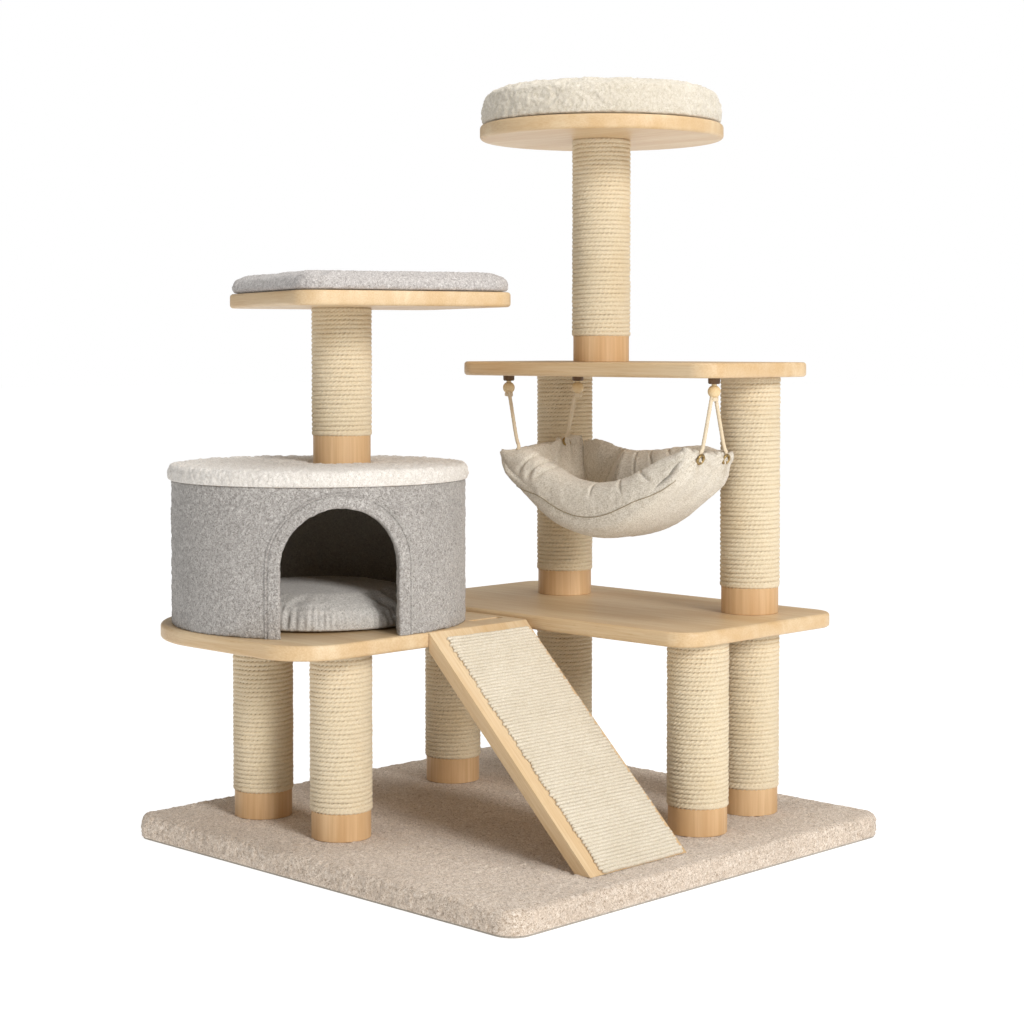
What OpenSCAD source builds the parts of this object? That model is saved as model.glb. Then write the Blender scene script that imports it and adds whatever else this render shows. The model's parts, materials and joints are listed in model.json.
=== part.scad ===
/* Free-standing cat tree: carpeted base, rope-wrapped posts, den, perches, ramp and hammock.
   Frame: origin at the centre of the base's underside, +Z up, +X along the ramp's run. */

/* [Base] */
// Side of the square base, carpet included
base_w = 810; // [800:1:840]
// Height of the carpet's upper face
base_h = 36; // [32:1:40]
// Radius of the base's corners in plan
base_corner_r = 32; // [25:1:60]

/* [Boards] */
// Thickness of the shelves, perches and den platform
board_t = 22; // [20:1:24]
// Rounding of the boards' edges
board_edge_r = 5; // [3:0.5:8]

/* [Posts] */
// Diameter over the rope
rope_d = 90; // [88:1:92]
// Diameter of the bare wooden collar
collar_d = 86.6; // [84:0.1:87]
// Height of the collar at the foot of each post
collar_h = 40; // [30:1:50]
// Diameter of one strand of rope
rope_strand = 8; // [6:0.5:9]

/* [Levels] */
// Height of the den platform's upper face
platform_z = 335; // [333:1:337]
// Height of the middle shelf's upper face
mid_z = 341; // [340:1:343]
// Height of the upper shelf's upper face
upper_z = 722; // [715:1:730]
// Height of the round perch's upper face
crown_z = 1088; // [1070:1:1110]
// Height of the left perch's upper face
perch_z = 826; // [815:1:840]

/* [Den] */
// Radius over the den's plush wall
den_r = 220; // [215:1:222]
// Height of the den's wall
den_wall_h = 213; // [208:1:220]
// Width of the doorway
door_w = 173; // [150:1:180]
// Height of the doorway's straight sides
door_side_h = 99.5; // [80:0.5:105]

/* [Perches] */
// Radius of the round perch board
crown_r = 189; // [180:1:200]
// Thickness of the round cushion
crown_cushion_t = 57; // [45:1:65]
// Side of the left perch board
perch_w = 342; // [330:1:355]
// Thickness of the left perch pad
perch_pad_t = 28; // [20:1:35]

/* [Ramp] */
// Width of the ramp board
ramp_w = 200; // [180:1:205]
// Thickness of the ramp board
ramp_t = 20; // [16:1:22]
// Horizontal run of the ramp
ramp_run = 314; // [305:1:320]

/* [Hammock] */
// Radius of the sling's curve
sling_r = 209; // [205:1:212]
// Width of the sling, front to back
sling_w = 145; // [136:1:148]
// Radius of the padded rolls along the sling's edges
bolster_r = 24; // [20:1:25]

/* [Hidden] */
$fn = 96;
GAP = 0.3;               // clearance between solids on different bodies
PLAY = 0.1;              // radial clearance of a fastener in its hole

// fasteners
base_bolt_head_r = 10;
base_bolt_head_h = 5;
wall_screw_r = 2;
platform_screw_y = -12;
shelf_screw_y = 30;

// base layers, from the floor up
lining_t = 2;
carpet_t = 10;
carpet_side_t = 8;
base_board_z = lining_t;
base_board_t = base_h - carpet_t - lining_t;

// post construction
core_r = rope_d / 2 - rope_strand;
tube_bore_r = core_r - 8;
plug_h = 20;
stud_r = 4;
stud_grip = 30;          // length of a stud inside a post
stud_blind = 14;         // depth of a stud inside a board

// levels derived from the boards' upper faces
platform_low = platform_z - board_t;
mid_low = mid_z - board_t;
upper_low = upper_z - board_t;
crown_low = crown_z - board_t;
perch_low = perch_z - board_t;

// post axes in plan
P_DEN_LEFT = [-260, -268];
P_DEN_FRONT = [-65, -281];
P_MID_LEFT = [-243, 115];
P_MID_BACK = [-122, 254];
P_MID_FRONT = [282, 107];
P_MID_RIGHT = [251, 268];
P_PERCH = [-178, -180];
P_CROWN = [31, 173];

// den platform outline
platform_x = [-405, 41];
platform_y = [-445, 5];
platform_left_r = 190;
platform_front_r = 80;
platform_small_r = 12;

// shelf outlines
mid_x = [-288, 348];
mid_y = [6, 370];
mid_corner_r = 45;
upper_x = [-193, 333];
upper_y = [70, 325];
upper_corner_r = 40;

// den
den_c = [-182, -222];
door_angle = -32;
cover_t = 6;
shell_t = 9;
den_lining_t = 3;
shell_r = den_r - cover_t;
den_inner_r = shell_r - shell_t;
wall_top = platform_z + den_wall_h;
lid_board_t = 12;
lid_plush_t = 12;
lid_r = 224;
trim_w = 20;
trim_t = 2.5;
door_reach = 130;         // depth of the cut that opens the doorway
den_cushion_r = 172;
den_cushion_h = 62;

// perches
perch_c = [-150, -152];
perch_angle = -19;
perch_corner_r = 40;

// ramp
ramp_y = -107;           // centre of the ramp's width
ramp_top = [42.5, platform_z];
ramp_foot_z = base_h + GAP;
ramp_rise = ramp_top[1] - ramp_foot_z;
ramp_slope = atan(ramp_rise / ramp_run);
ramp_len = sqrt(ramp_run * ramp_run + ramp_rise * ramp_rise);
mat_t = 4;
mat_w = ramp_w - 26;
mat_shift = 9;           // the mat lies off centre, towards the back
cleat_w = 120;
cleat_t = 20;
cleat_low = platform_low - 3 - cleat_t;
cleat_reach = 26;         // under the ramp's upper end
cleat_back = 9;
cleat_shift = 20;
slot_clear = 2;
slot_l = 62;
slot_w = 16;
slot_c = [-8, -42];
tongue_t = 8;            // thin enough to tip out of the slot with the ramp

// batten that joins the two lower boards
batten_x = [-196, -34];
batten_y = [-20, 46];
batten_t = 22;

// hammock
sling_c = [105, 669];    // centre of the sling's curve in X and Z
sling_y = 125;           // middle of the sling, front to back
sling_t = 9;
sling_arc = 65;          // half angle of the sling's curve
front_lip_drop = 150;     // top roll's centreline below the sling's centre, at the middle
front_lip_end = 58.5;     // angle where the top roll meets the one on the sling
back_lip_drop = 108;
back_lip_end = 61.8;
lip_web_half = 23.5;
bolster_arc = 62;
knob_r = 9.5;
knob_drop = 20;          // from the shelf's underside to a knob's centre
bracket_h = 9;
cord_r = 3;
// knobs under the upper shelf; the swing axis runs through the first and the last
HANG_FL = [-124, sling_y];
HANG_BL = [-37, 198];
HANG_R = [296, sling_y];
// eyelets at the sling's corners
eye_z = 586.2;
EYE_FL = [-78, 86, eye_z];
EYE_BL = [-76, 166, eye_z];
EYE_FR = [289, 86, eye_z];
EYE_BR = [287, 166, eye_z];
eye_bore_r = 4.8;
cord_lift = 2.2;         // start of a cord above its eyelet's centre
axis_cord_gap = 1;       // between a knob on the swing axis and its cord
side_cord_gap = 8;       // between the knob off the axis and its cord

// each post: axis, foot height, top height
POSTS = [
    ["den_left", P_DEN_LEFT, base_h, platform_low],
    ["den_front", P_DEN_FRONT, base_h, platform_low],
    ["mid_left", P_MID_LEFT, base_h, mid_low],
    ["mid_back", P_MID_BACK, base_h, mid_low],
    ["mid_front", P_MID_FRONT, base_h, mid_low],
    ["mid_right", P_MID_RIGHT, base_h, mid_low],
    ["upper_back", P_MID_BACK, mid_z, upper_low],
    ["upper_right", P_MID_RIGHT, mid_z, upper_low],
    ["perch", P_PERCH, wall_top + lid_board_t, perch_low],
    ["crown", P_CROWN, upper_z, crown_low]
];

// ---------- shared shapes ----------

// rectangle between two corners with one radius per corner, from front left anticlockwise
module round_rect(xs, ys, r) {
    corners = [[xs[0], ys[0], 1, 1, r[0]], [xs[1], ys[0], -1, 1, r[1]],
               [xs[1], ys[1], -1, -1, r[2]], [xs[0], ys[1], 1, -1, r[3]]];
    difference() {
        translate([xs[0], ys[0]]) square([xs[1] - xs[0], ys[1] - ys[0]]);
        for (c = corners) difference() {
            translate([c[0] + (c[2] > 0 ? -1 : -c[4]), c[1] + (c[3] > 0 ? -1 : -c[4])])
                square([c[4] + 1, c[4] + 1]);
            translate([c[0] + c[2] * c[4], c[1] + c[3] * c[4]]) circle(r = c[4]);
        }
    }
}

// a fastener hole or shank standing on a point
module pin_at(p, z, h, r) {
    translate([p[0], p[1], z]) cylinder(h = h, r = r, $fn = 24);
}

// disc with rounded upper and lower edges
module soft_disc(r, h, edge) {
    rotate_extrude() difference() {
        square([r, h]);
        for (z = [0, h]) difference() {
            translate([r - edge, z == 0 ? -1 : h - edge]) square([edge + 1, edge + 1]);
            translate([r - edge, z == 0 ? edge : h - edge]) circle(r = edge, $fn = 48);
        }
    }
}

// straight rod between two points
module rod(a, b, r) {
    v = b - a;
    len = norm(v);
    translate(a)
        rotate([0, acos(v[2] / len), atan2(v[1], v[0])])
            cylinder(h = len, r = r, $fn = 24);
}

// ---------- posts ----------

// hollow core with its bare collar at the foot
module post_core(post) {
    color("#b98a52")
    translate([post[1][0], post[1][1], post[2]])
        difference() {
            union() {
                cylinder(h = post[3] - post[2], r = core_r);
                cylinder(h = collar_len(post), r = collar_d / 2);
            }
            translate([0, 0, -1]) cylinder(h = post[3] - post[2] + 2, r = tube_bore_r);
        }
}

// the perch post's collar starts below the lid's plush, so it is longer by that much
function collar_len(post) = post[0] == "perch" ? collar_h + lid_plush_t : collar_h;

// rope winding as a sleeve
module post_rope(post) {
    foot = post[2] + collar_len(post);
    color("#d9bd84")
    translate([post[1][0], post[1][1], foot])
        difference() {
            cylinder(h = post[3] - foot, r = rope_d / 2);
            translate([0, 0, -1]) cylinder(h = post[3] - foot + 2, r = core_r);
        }
}

// wooden plugs in both ends of every core, bored for the studs
module post_end_plugs() {
    color("#c79b63")
    for (post = POSTS) for (z = [post[2], post[3] - plug_h])
        difference() {
            pin_at(post[1], z, plug_h, tube_bore_r);
            pin_at(post[1], z - 1, plug_h + 2, stud_r + PLAY);
        }
}

// studs that hold the boards on the posts
module post_studs() {
    color("silver") {
        for (post = [POSTS[0], POSTS[1], POSTS[2], POSTS[4], POSTS[8], POSTS[9]])
            pin_at(post[1], post[3] - stud_grip, stud_grip + stud_blind, stud_r);
        for (post = [POSTS[6], POSTS[7]]) {
            pin_at(post[1], mid_low - stud_grip, 2 * stud_grip + board_t, stud_r);
            pin_at(post[1], upper_low - stud_grip, stud_grip + stud_blind, stud_r);
        }
        pin_at(P_CROWN, upper_z - stud_blind, stud_grip + stud_blind, stud_r);
        pin_at(P_PERCH, wall_top - 14, stud_grip + lid_board_t + 14, stud_r);
    }
}

// ---------- base ----------

module base_plan(inset) {
    half = base_w / 2 - inset;
    r = base_corner_r - inset;
    round_rect([-half, half], [-half, half], [r, r, r, r]);
}

module base_board() {
    color("#c9a878")
    difference() {
        translate([0, 0, base_board_z]) linear_extrude(base_board_t) base_plan(carpet_side_t);
        for (i = [0 : 5]) {
            pin_at(POSTS[i][1], 0, base_h, stud_r + PLAY);
            pin_at(POSTS[i][1], base_board_z - 1, base_bolt_head_h + 1, base_bolt_head_r + PLAY);
        }
    }
}

// carpet over the top and sides of the board
module base_carpet() {
    color("#cdb79c")
    difference() {
        translate([0, 0, lining_t]) linear_extrude(base_h - lining_t) base_plan(0);
        translate([0, 0, lining_t - 1]) linear_extrude(base_board_t + 1) base_plan(carpet_side_t);
        for (i = [0 : 5]) pin_at(POSTS[i][1], 0, base_h + 1, stud_r + PLAY);
        base_edge_cut();
    }
}

// bevel round the carpet's upper edge
module base_edge_cut() {
    cut = 5;
    half = base_w / 2;
    for (a = [0, 90, 180, 270]) rotate([0, 0, a])
        translate([half, 0, base_h]) rotate([90, 0, 0])
            linear_extrude(base_w + 2, center = true)
                polygon([[-cut, 1], [-cut, 0], [0, -cut], [1, -cut], [1, 1]]);
}

module base_lining() {
    color("#3a3a3a")
    linear_extrude(lining_t) base_plan(3);
}

// bolts up through the base into the lower posts
module base_bolts() {
    color("silver")
    for (i = [0 : 5]) {
        pin_at(POSTS[i][1], base_board_z, base_bolt_head_h, base_bolt_head_r);
        pin_at(POSTS[i][1], base_board_z + base_bolt_head_h, base_h - base_board_z + 15, stud_r);
    }
}

// ---------- lower boards ----------

// board of the common thickness over an outline
module plate(z_low) {
    translate([0, 0, z_low]) linear_extrude(board_t) children();
}

module den_platform() {
    color("#dcb47c")
    difference() {
        plate(platform_low)
            round_rect(platform_x, platform_y,
                       [platform_left_r, platform_front_r, platform_small_r, platform_small_r]);
        for (p = [P_DEN_LEFT, P_DEN_FRONT])
            pin_at(p, platform_low - 1, stud_blind + 2, stud_r + PLAY);
        translate([slot_c[0] - slot_w / 2, slot_c[1] - slot_l / 2, platform_low - 1])
            cube([slot_w, slot_l, board_t + 2]);
        den_screw_set(platform_low - 1, 40, wall_screw_r + PLAY);
        batten_screw_set(platform_low - 1, 13, wall_screw_r + PLAY, platform_screw_y);
    }
}

module mid_shelf() {
    color("#dcb47c")
    difference() {
        plate(mid_low)
            round_rect(mid_x, mid_y, [mid_corner_r, mid_corner_r, mid_corner_r, mid_corner_r]);
        for (p = [P_MID_LEFT, P_MID_FRONT])
            pin_at(p, mid_low - 1, stud_blind + 2, stud_r + PLAY);
        for (p = [P_MID_BACK, P_MID_RIGHT]) pin_at(p, mid_low - 1, board_t + 2, stud_r + PLAY);
        batten_screw_set(mid_low - 1, 14, wall_screw_r + PLAY, shelf_screw_y);
    }
}

// one row of screw shanks along the batten
module batten_screw_set(z, h, r, y) {
    for (k = [0.15, 0.5, 0.85])
        pin_at([batten_x[0] + k * (batten_x[1] - batten_x[0]), y], z, h, r);
}

// stepped batten under the joint between the den platform and the middle shelf
module joining_batten() {
    color("#c79b63")
    difference() {
        union() {
            translate([batten_x[0], batten_y[0], platform_low - batten_t])
                cube([batten_x[1] - batten_x[0], batten_y[1] - batten_y[0], batten_t]);
            translate([batten_x[0], mid_y[0], platform_low - 1])
                cube([batten_x[1] - batten_x[0], batten_y[1] - mid_y[0], mid_low - platform_low + 1]);
        }
        batten_screw_set(platform_low - batten_t - 1, batten_t + 8, wall_screw_r + PLAY,
                         platform_screw_y);
        batten_screw_set(platform_low - batten_t - 1, batten_t + 14, wall_screw_r + PLAY,
                         shelf_screw_y);
    }
}

module batten_screws() {
    color("silver")
    for (y = [platform_screw_y, shelf_screw_y]) {
        batten_screw_set(platform_low - batten_t, batten_t + (y > 0 ? 16 : 10), wall_screw_r, y);
        batten_screw_set(platform_low - batten_t - 2, 2, 4, y);
    }
}

module upper_shelf() {
    color("#dcb47c")
    difference() {
        plate(upper_low)
            round_rect(upper_x, upper_y,
                       [upper_corner_r, upper_corner_r, upper_corner_r, upper_corner_r]);
        for (p = [P_MID_BACK, P_MID_RIGHT])
            pin_at(p, upper_low - 1, stud_blind + 2, stud_r + PLAY);
        pin_at(P_CROWN, upper_z - stud_blind - 1, stud_blind + 2, stud_r + PLAY);
    }
}

// ---------- den ----------

// ring between two radii
module ring(r_out, r_in, z, h) {
    translate([den_c[0], den_c[1], z]) difference() {
        cylinder(h = h, r = r_out);
        translate([0, 0, -1]) cylinder(h = h + 2, r = r_in);
    }
}

// arched prism along the doorway's direction, grown by a margin
module doorway(grow, start) {
    translate([den_c[0], den_c[1], platform_z]) rotate([0, 0, door_angle])
        translate([start, 0, 0]) rotate([90, 0, 90]) linear_extrude(120) {
            translate([-door_w / 2 - grow, -10]) square([door_w + 2 * grow, door_side_h + 10]);
            translate([0, door_side_h]) circle(r = door_w / 2 + grow);
        }
}

module den_wall() {
    color("#b08a5c")
    difference() {
        ring(shell_r, den_inner_r, platform_z, den_wall_h);
        doorway(0, door_reach);
        den_screw_set(platform_z - 1, 13, wall_screw_r + PLAY);
        den_screw_set(wall_top - 13, 14, wall_screw_r + PLAY);
    }
}

module den_wall_plush() {
    color("#b9b5b1")
    difference() {
        ring(den_r, shell_r, platform_z, den_wall_h);
        doorway(0, door_reach);
    }
}

// stitched band round the doorway, lying on the plush
module den_door_trim() {
    color("#c4c0bc")
    difference() {
        intersection() {
            ring(den_r + trim_t, den_r, platform_z, den_wall_h - 4);
            doorway(trim_w, door_reach);
        }
        doorway(0, door_reach);
    }
}

module den_lining() {
    color("#222222")
    difference() {
        ring(den_inner_r, den_inner_r - den_lining_t, platform_z, den_wall_h);
        doorway(0, door_reach);
    }
}

// screws round the wall's edge, clear of the doorway
module den_screw_set(z, h, r) {
    for (k = [0 : 5])
        pin_at(den_c + (shell_r - shell_t / 2) *
               [cos(door_angle + 45 + 54 * k), sin(door_angle + 45 + 54 * k)], z, h, r);
}

module den_wall_screws() {
    color("silver") {
        den_screw_set(platform_low, board_t + 11, wall_screw_r);
        den_screw_set(platform_low - 2, 2, 4);
    }
}

module den_cushion() {
    color("#a9adb0")
    translate([den_c[0], den_c[1], platform_z + GAP])
        soft_disc(den_cushion_r, den_cushion_h, 28);
}

module den_lid_board() {
    color("#c79b63")
    difference() {
        translate([den_c[0], den_c[1], wall_top]) cylinder(h = lid_board_t, r = den_r - 2);
        den_screw_set(wall_top - 1, lid_board_t + 2, wall_screw_r + PLAY);
        pin_at(P_PERCH, wall_top - 1, lid_board_t + 2, stud_r + PLAY);
    }
}

module den_lid_screws() {
    color("silver") den_screw_set(wall_top - 11, lid_board_t + 11, wall_screw_r);
}

// plush over the lid, open round the perch post
module den_lid_plush() {
    color("#e3ded6")
    difference() {
        translate([den_c[0], den_c[1], wall_top])
            rotate_extrude() {
                square([lid_r - 8, lid_board_t + lid_plush_t]);
                square([lid_r, lid_board_t + lid_plush_t - 8]);
                translate([lid_r - 8, lid_board_t + lid_plush_t - 8]) circle(r = 8, $fn = 48);
            }
        translate([den_c[0], den_c[1], wall_top - 1])
            cylinder(h = lid_board_t + 1, r = den_r - 2);
        pin_at(P_PERCH, wall_top, 60, collar_d / 2 + 0.4);
    }
}

// nut under the lid that holds the perch post's stud
module perch_stud_nut() {
    color("silver")
    translate([P_PERCH[0], P_PERCH[1], wall_top - 10]) difference() {
        union() {
            cylinder(h = 8, r = 7.5, $fn = 6);
            translate([0, 0, 8]) cylinder(h = 2, r = 12, $fn = 48);
        }
        translate([0, 0, -1]) cylinder(h = 12, r = stud_r + PLAY, $fn = 24);
    }
}

// ---------- perches ----------

module perch_plan(inset) {
    half = perch_w / 2 - inset;
    r = perch_corner_r - inset;
    translate(perch_c) rotate(perch_angle)
        round_rect([-half, half], [-half, half], [r, r, r, r]);
}

module left_perch_board() {
    color("#dcb47c")
    difference() {
        plate(perch_low) perch_plan(0);
        pin_at(P_PERCH, perch_low - 1, stud_blind + 2, stud_r + PLAY);
    }
}

module left_perch_pad() {
    color("#b3b1b0")
    translate([0, 0, perch_z + GAP]) linear_extrude(perch_pad_t - GAP) perch_plan(2);
}

module round_perch_board() {
    color("#dcb47c")
    difference() {
        translate([P_CROWN[0], P_CROWN[1], crown_low])
            soft_disc(crown_r, board_t, board_edge_r);
        pin_at(P_CROWN, crown_low - 1, stud_blind + 2, stud_r + PLAY);
    }
}

module round_perch_cushion() {
    color("#ece4d4")
    translate([P_CROWN[0], P_CROWN[1], crown_z + GAP])
        soft_disc(crown_r - 2, crown_cushion_t - GAP, 18);
}

// ---------- ramp ----------

// outline of the ramp from the side: upright upper end, flat foot
module ramp_side() {
    drop = ramp_t / cos(ramp_slope);
    run_cut = ramp_t / sin(ramp_slope);
    polygon([[0, 0], [ramp_run, -ramp_rise], [ramp_run - run_cut, -ramp_rise], [0, -drop]]);
}

// stands the ramp's side outline up at its place along Y
module ramp_stand(y_low, w) {
    translate([ramp_top[0], y_low + w, ramp_top[1]])
        rotate([90, 0, 0]) linear_extrude(w) children();
}

module ramp_board() {
    color("#d8ae74")
    difference() {
        ramp_stand(ramp_y - ramp_w / 2, ramp_w) ramp_side();
        cleat_screw_set(cleat_low, 25, wall_screw_r + PLAY);
    }
}

// ribbed mat on the ramp's upper face
module ramp_mat() {
    top_gap = 14;
    foot_gap = 1;
    color("#e6dcc6")
    translate([ramp_top[0], ramp_y + mat_shift - mat_w / 2, ramp_top[1]])
        rotate([0, ramp_slope, 0])
            translate([top_gap, 0, 0]) cube([ramp_len - top_gap - foot_gap, mat_w, mat_t]);
}

// block under the platform's edge with a tongue that rises into the slot
module ramp_cleat() {
    far = 200;
    under = ramp_t / cos(ramp_slope);
    color("#cfa268")
    difference() {
        union() {
            translate([slot_c[0] - cleat_back, ramp_y - cleat_w / 2 + cleat_shift, cleat_low])
                cube([ramp_top[0] - slot_c[0] + cleat_back + cleat_reach, cleat_w, cleat_t]);
            translate([slot_c[0] - slot_w / 2 + slot_clear, slot_c[1] - slot_l / 2 + slot_clear,
                       cleat_low])
                cube([tongue_t, slot_l - 2 * slot_clear, platform_z - cleat_low - slot_clear]);
        }
        ramp_stand(ramp_y - ramp_w / 2 - 1, ramp_w + 2)
            polygon([[-1, 60], [far, 60], [far, -far * tan(ramp_slope) - under],
                     [-1, tan(ramp_slope) - under]]);
        cleat_screw_set(cleat_low - 1, 26, wall_screw_r + PLAY);
    }
}

// screw shanks or their holes, up through the cleat into the ramp board
module cleat_screw_set(z, h, r) {
    for (y = [ramp_y - 30, ramp_y + 50]) pin_at([ramp_top[0] + 10, y], z, h, r);
}

module ramp_cleat_screws() {
    color("silver") {
        cleat_screw_set(cleat_low, 24, wall_screw_r);
        cleat_screw_set(cleat_low - 2, 2, 4);
    }
}

// ---------- hammock ----------

// wedge that keeps the part of a ring within an angle either side of straight down
module down_wedge(half_angle, reach) {
    polygon([[0, 0], [-reach * sin(half_angle), -reach * cos(half_angle)],
             [-reach * sin(half_angle), -reach], [reach * sin(half_angle), -reach],
             [reach * sin(half_angle), -reach * cos(half_angle)]]);
}

module hammock_sling() {
    color("#ddd5c6")
    translate([sling_c[0], sling_y + sling_w / 2, sling_c[1]]) rotate([90, 0, 0])
        linear_extrude(sling_w) intersection() {
            difference() {
                circle(r = sling_r);
                circle(r = sling_r - sling_t);
            }
            down_wedge(sling_arc, 2 * sling_r);
        }
}

// padded lip along one edge of the sling: a roll lying on the sling, a flatter roll along
// the lip's upper side, and the web between them
module lip(y, mid_drop, end_angle) {
    r_mid = sling_r - sling_t - 0.5 - bolster_r;
    half = r_mid * sin(end_angle);
    sag = mid_drop - r_mid * cos(end_angle);
    r_top = (half * half + sag * sag) / (2 * sag);
    rise = r_top - mid_drop;
    top_arc = asin(half / r_top);
    translate([sling_c[0], y, sling_c[1]]) rotate([90, 0, 0]) {
        rotate([0, 0, -90 - bolster_arc])
            rotate_extrude(angle = 2 * bolster_arc) translate([r_mid, 0]) circle(r = bolster_r);
        translate([0, rise, 0]) rotate([0, 0, -90 - top_arc])
            rotate_extrude(angle = 2 * top_arc) translate([r_top, 0]) circle(r = bolster_r);
        linear_extrude(2 * lip_web_half, center = true) difference() {
            circle(r = r_mid);
            translate([0, rise]) circle(r = r_top);
        }
    }
}

module hammock_front_roll() {
    color("#e2dbcd")
        lip(sling_y - sling_w / 2 + bolster_r, front_lip_drop, front_lip_end);
}

module hammock_back_roll() {
    color("#e2dbcd")
        lip(sling_y + sling_w / 2 - bolster_r, back_lip_drop, back_lip_end);
}

// the eyelets at the sling's corners, tied round the cords
module hammock_grommets() {
    color("#a58a5a")
    for (e = [EYE_FL, EYE_BL, EYE_FR, EYE_BR])
        translate(e) difference() {
            cylinder(h = 3, r = 8, center = true, $fn = 32);
            cylinder(h = 5, r = eye_bore_r, center = true, $fn = 32);
        }
}

// short blocks under the upper shelf
module hammock_brackets() {
    color("#7d5836")
    for (p = [HANG_FL, HANG_BL, HANG_R])
        pin_at(p, upper_low - bracket_h, bracket_h, 9);
}

// turned knobs below the blocks, which the cords are looped round
module hammock_knobs() {
    color("#e3cfa6")
    for (p = [HANG_FL, HANG_BL, HANG_R])
        difference() {
            translate([p[0], p[1], upper_low - knob_drop]) {
                sphere(r = knob_r, $fn = 48);
                cylinder(h = knob_drop - bracket_h, r = 4, $fn = 24);
            }
            pin_at(p, upper_low - bracket_h, bracket_h, 12);
        }
}

// cord from below a knob to an eyelet, along the line from the knob's centre
module hammock_cord(hang, eye, gap) {
    centre = [hang[0], hang[1], upper_low - knob_drop];
    v = eye - centre;
    u = v / norm(v);
    color("#d9c8a3") rod(eye - u * cord_lift, centre + u * (knob_r + gap), cord_r);
}

module hammock_cord_front_left() { hammock_cord(HANG_FL, EYE_FL, axis_cord_gap); }
module hammock_cord_back_left() { hammock_cord(HANG_BL, EYE_BL, side_cord_gap); }
module hammock_cord_front_right() { hammock_cord(HANG_R, EYE_FR, axis_cord_gap); }
module hammock_cord_back_right() { hammock_cord(HANG_R, EYE_BR, axis_cord_gap); }

base_board();
base_carpet();
base_lining();
post_core(POSTS[0]);  // den_left_post_core
post_rope(POSTS[0]);  // den_left_post_rope
post_core(POSTS[1]);  // den_front_post_core
post_rope(POSTS[1]);  // den_front_post_rope
post_core(POSTS[2]);  // mid_left_post_core
post_rope(POSTS[2]);  // mid_left_post_rope
post_core(POSTS[3]);  // mid_back_post_core
post_rope(POSTS[3]);  // mid_back_post_rope
post_core(POSTS[4]);  // mid_front_post_core
post_rope(POSTS[4]);  // mid_front_post_rope
post_core(POSTS[5]);  // mid_right_post_core
post_rope(POSTS[5]);  // mid_right_post_rope
post_core(POSTS[6]);  // upper_back_post_core
post_rope(POSTS[6]);  // upper_back_post_rope
post_core(POSTS[7]);  // upper_right_post_core
post_rope(POSTS[7]);  // upper_right_post_rope
post_core(POSTS[8]);  // perch_post_core
post_rope(POSTS[8]);  // perch_post_rope
post_core(POSTS[9]);  // crown_post_core
post_rope(POSTS[9]);  // crown_post_rope
post_end_plugs();
post_studs();
base_bolts();
den_platform();
mid_shelf();
joining_batten();
batten_screws();
upper_shelf();
den_wall();
den_wall_plush();
den_door_trim();
den_lining();
den_wall_screws();
den_cushion();
den_lid_board();
den_lid_plush();
den_lid_screws();
perch_stud_nut();
left_perch_board();
left_perch_pad();
round_perch_board();
round_perch_cushion();
ramp_board();
ramp_mat();
ramp_cleat();
ramp_cleat_screws();
hammock_sling();
hammock_front_roll();
hammock_back_roll();
hammock_grommets();
hammock_brackets();
hammock_knobs();
hammock_cord_front_left();
hammock_cord_back_left();
hammock_cord_front_right();
hammock_cord_back_right();
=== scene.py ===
"""Looks of the cat tree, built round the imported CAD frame. Metres, same frame as the CAD."""
import json
import math

import bmesh
import bpy
import numpy as np
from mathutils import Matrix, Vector
from mathutils.bvhtree import BVHTree

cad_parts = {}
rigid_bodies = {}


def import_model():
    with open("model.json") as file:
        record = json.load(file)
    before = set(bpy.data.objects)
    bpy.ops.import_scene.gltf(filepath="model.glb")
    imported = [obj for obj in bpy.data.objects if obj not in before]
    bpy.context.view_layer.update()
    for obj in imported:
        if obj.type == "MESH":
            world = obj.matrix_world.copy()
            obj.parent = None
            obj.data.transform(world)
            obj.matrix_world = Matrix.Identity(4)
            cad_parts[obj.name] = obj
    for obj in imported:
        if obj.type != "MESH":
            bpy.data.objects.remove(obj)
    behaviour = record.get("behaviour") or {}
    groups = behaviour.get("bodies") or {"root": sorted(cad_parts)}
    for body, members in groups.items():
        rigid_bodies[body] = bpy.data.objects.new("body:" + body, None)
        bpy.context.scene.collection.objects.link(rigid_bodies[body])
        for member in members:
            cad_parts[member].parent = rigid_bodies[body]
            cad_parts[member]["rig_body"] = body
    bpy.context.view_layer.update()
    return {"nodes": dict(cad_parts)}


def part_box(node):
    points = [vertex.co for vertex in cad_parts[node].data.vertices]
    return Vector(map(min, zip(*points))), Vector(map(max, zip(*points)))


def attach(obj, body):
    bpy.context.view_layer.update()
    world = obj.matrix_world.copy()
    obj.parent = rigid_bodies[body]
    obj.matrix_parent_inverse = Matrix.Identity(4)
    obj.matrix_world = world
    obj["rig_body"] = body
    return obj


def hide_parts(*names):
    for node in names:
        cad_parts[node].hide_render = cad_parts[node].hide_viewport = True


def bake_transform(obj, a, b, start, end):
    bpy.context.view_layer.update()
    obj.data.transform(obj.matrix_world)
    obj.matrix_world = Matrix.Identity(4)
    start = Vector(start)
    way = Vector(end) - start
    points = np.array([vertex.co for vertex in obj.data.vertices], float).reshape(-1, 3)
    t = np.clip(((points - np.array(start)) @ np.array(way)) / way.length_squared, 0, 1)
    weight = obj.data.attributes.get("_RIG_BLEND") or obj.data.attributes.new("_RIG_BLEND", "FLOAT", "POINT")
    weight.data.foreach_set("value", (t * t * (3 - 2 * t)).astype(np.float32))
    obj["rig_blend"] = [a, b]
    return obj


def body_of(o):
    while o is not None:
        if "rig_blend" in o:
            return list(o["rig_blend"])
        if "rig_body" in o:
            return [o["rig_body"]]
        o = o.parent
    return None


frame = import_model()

TAU = 2 * math.pi

# Radius of a board's edges.
BOARD_R = 0.005
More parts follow.
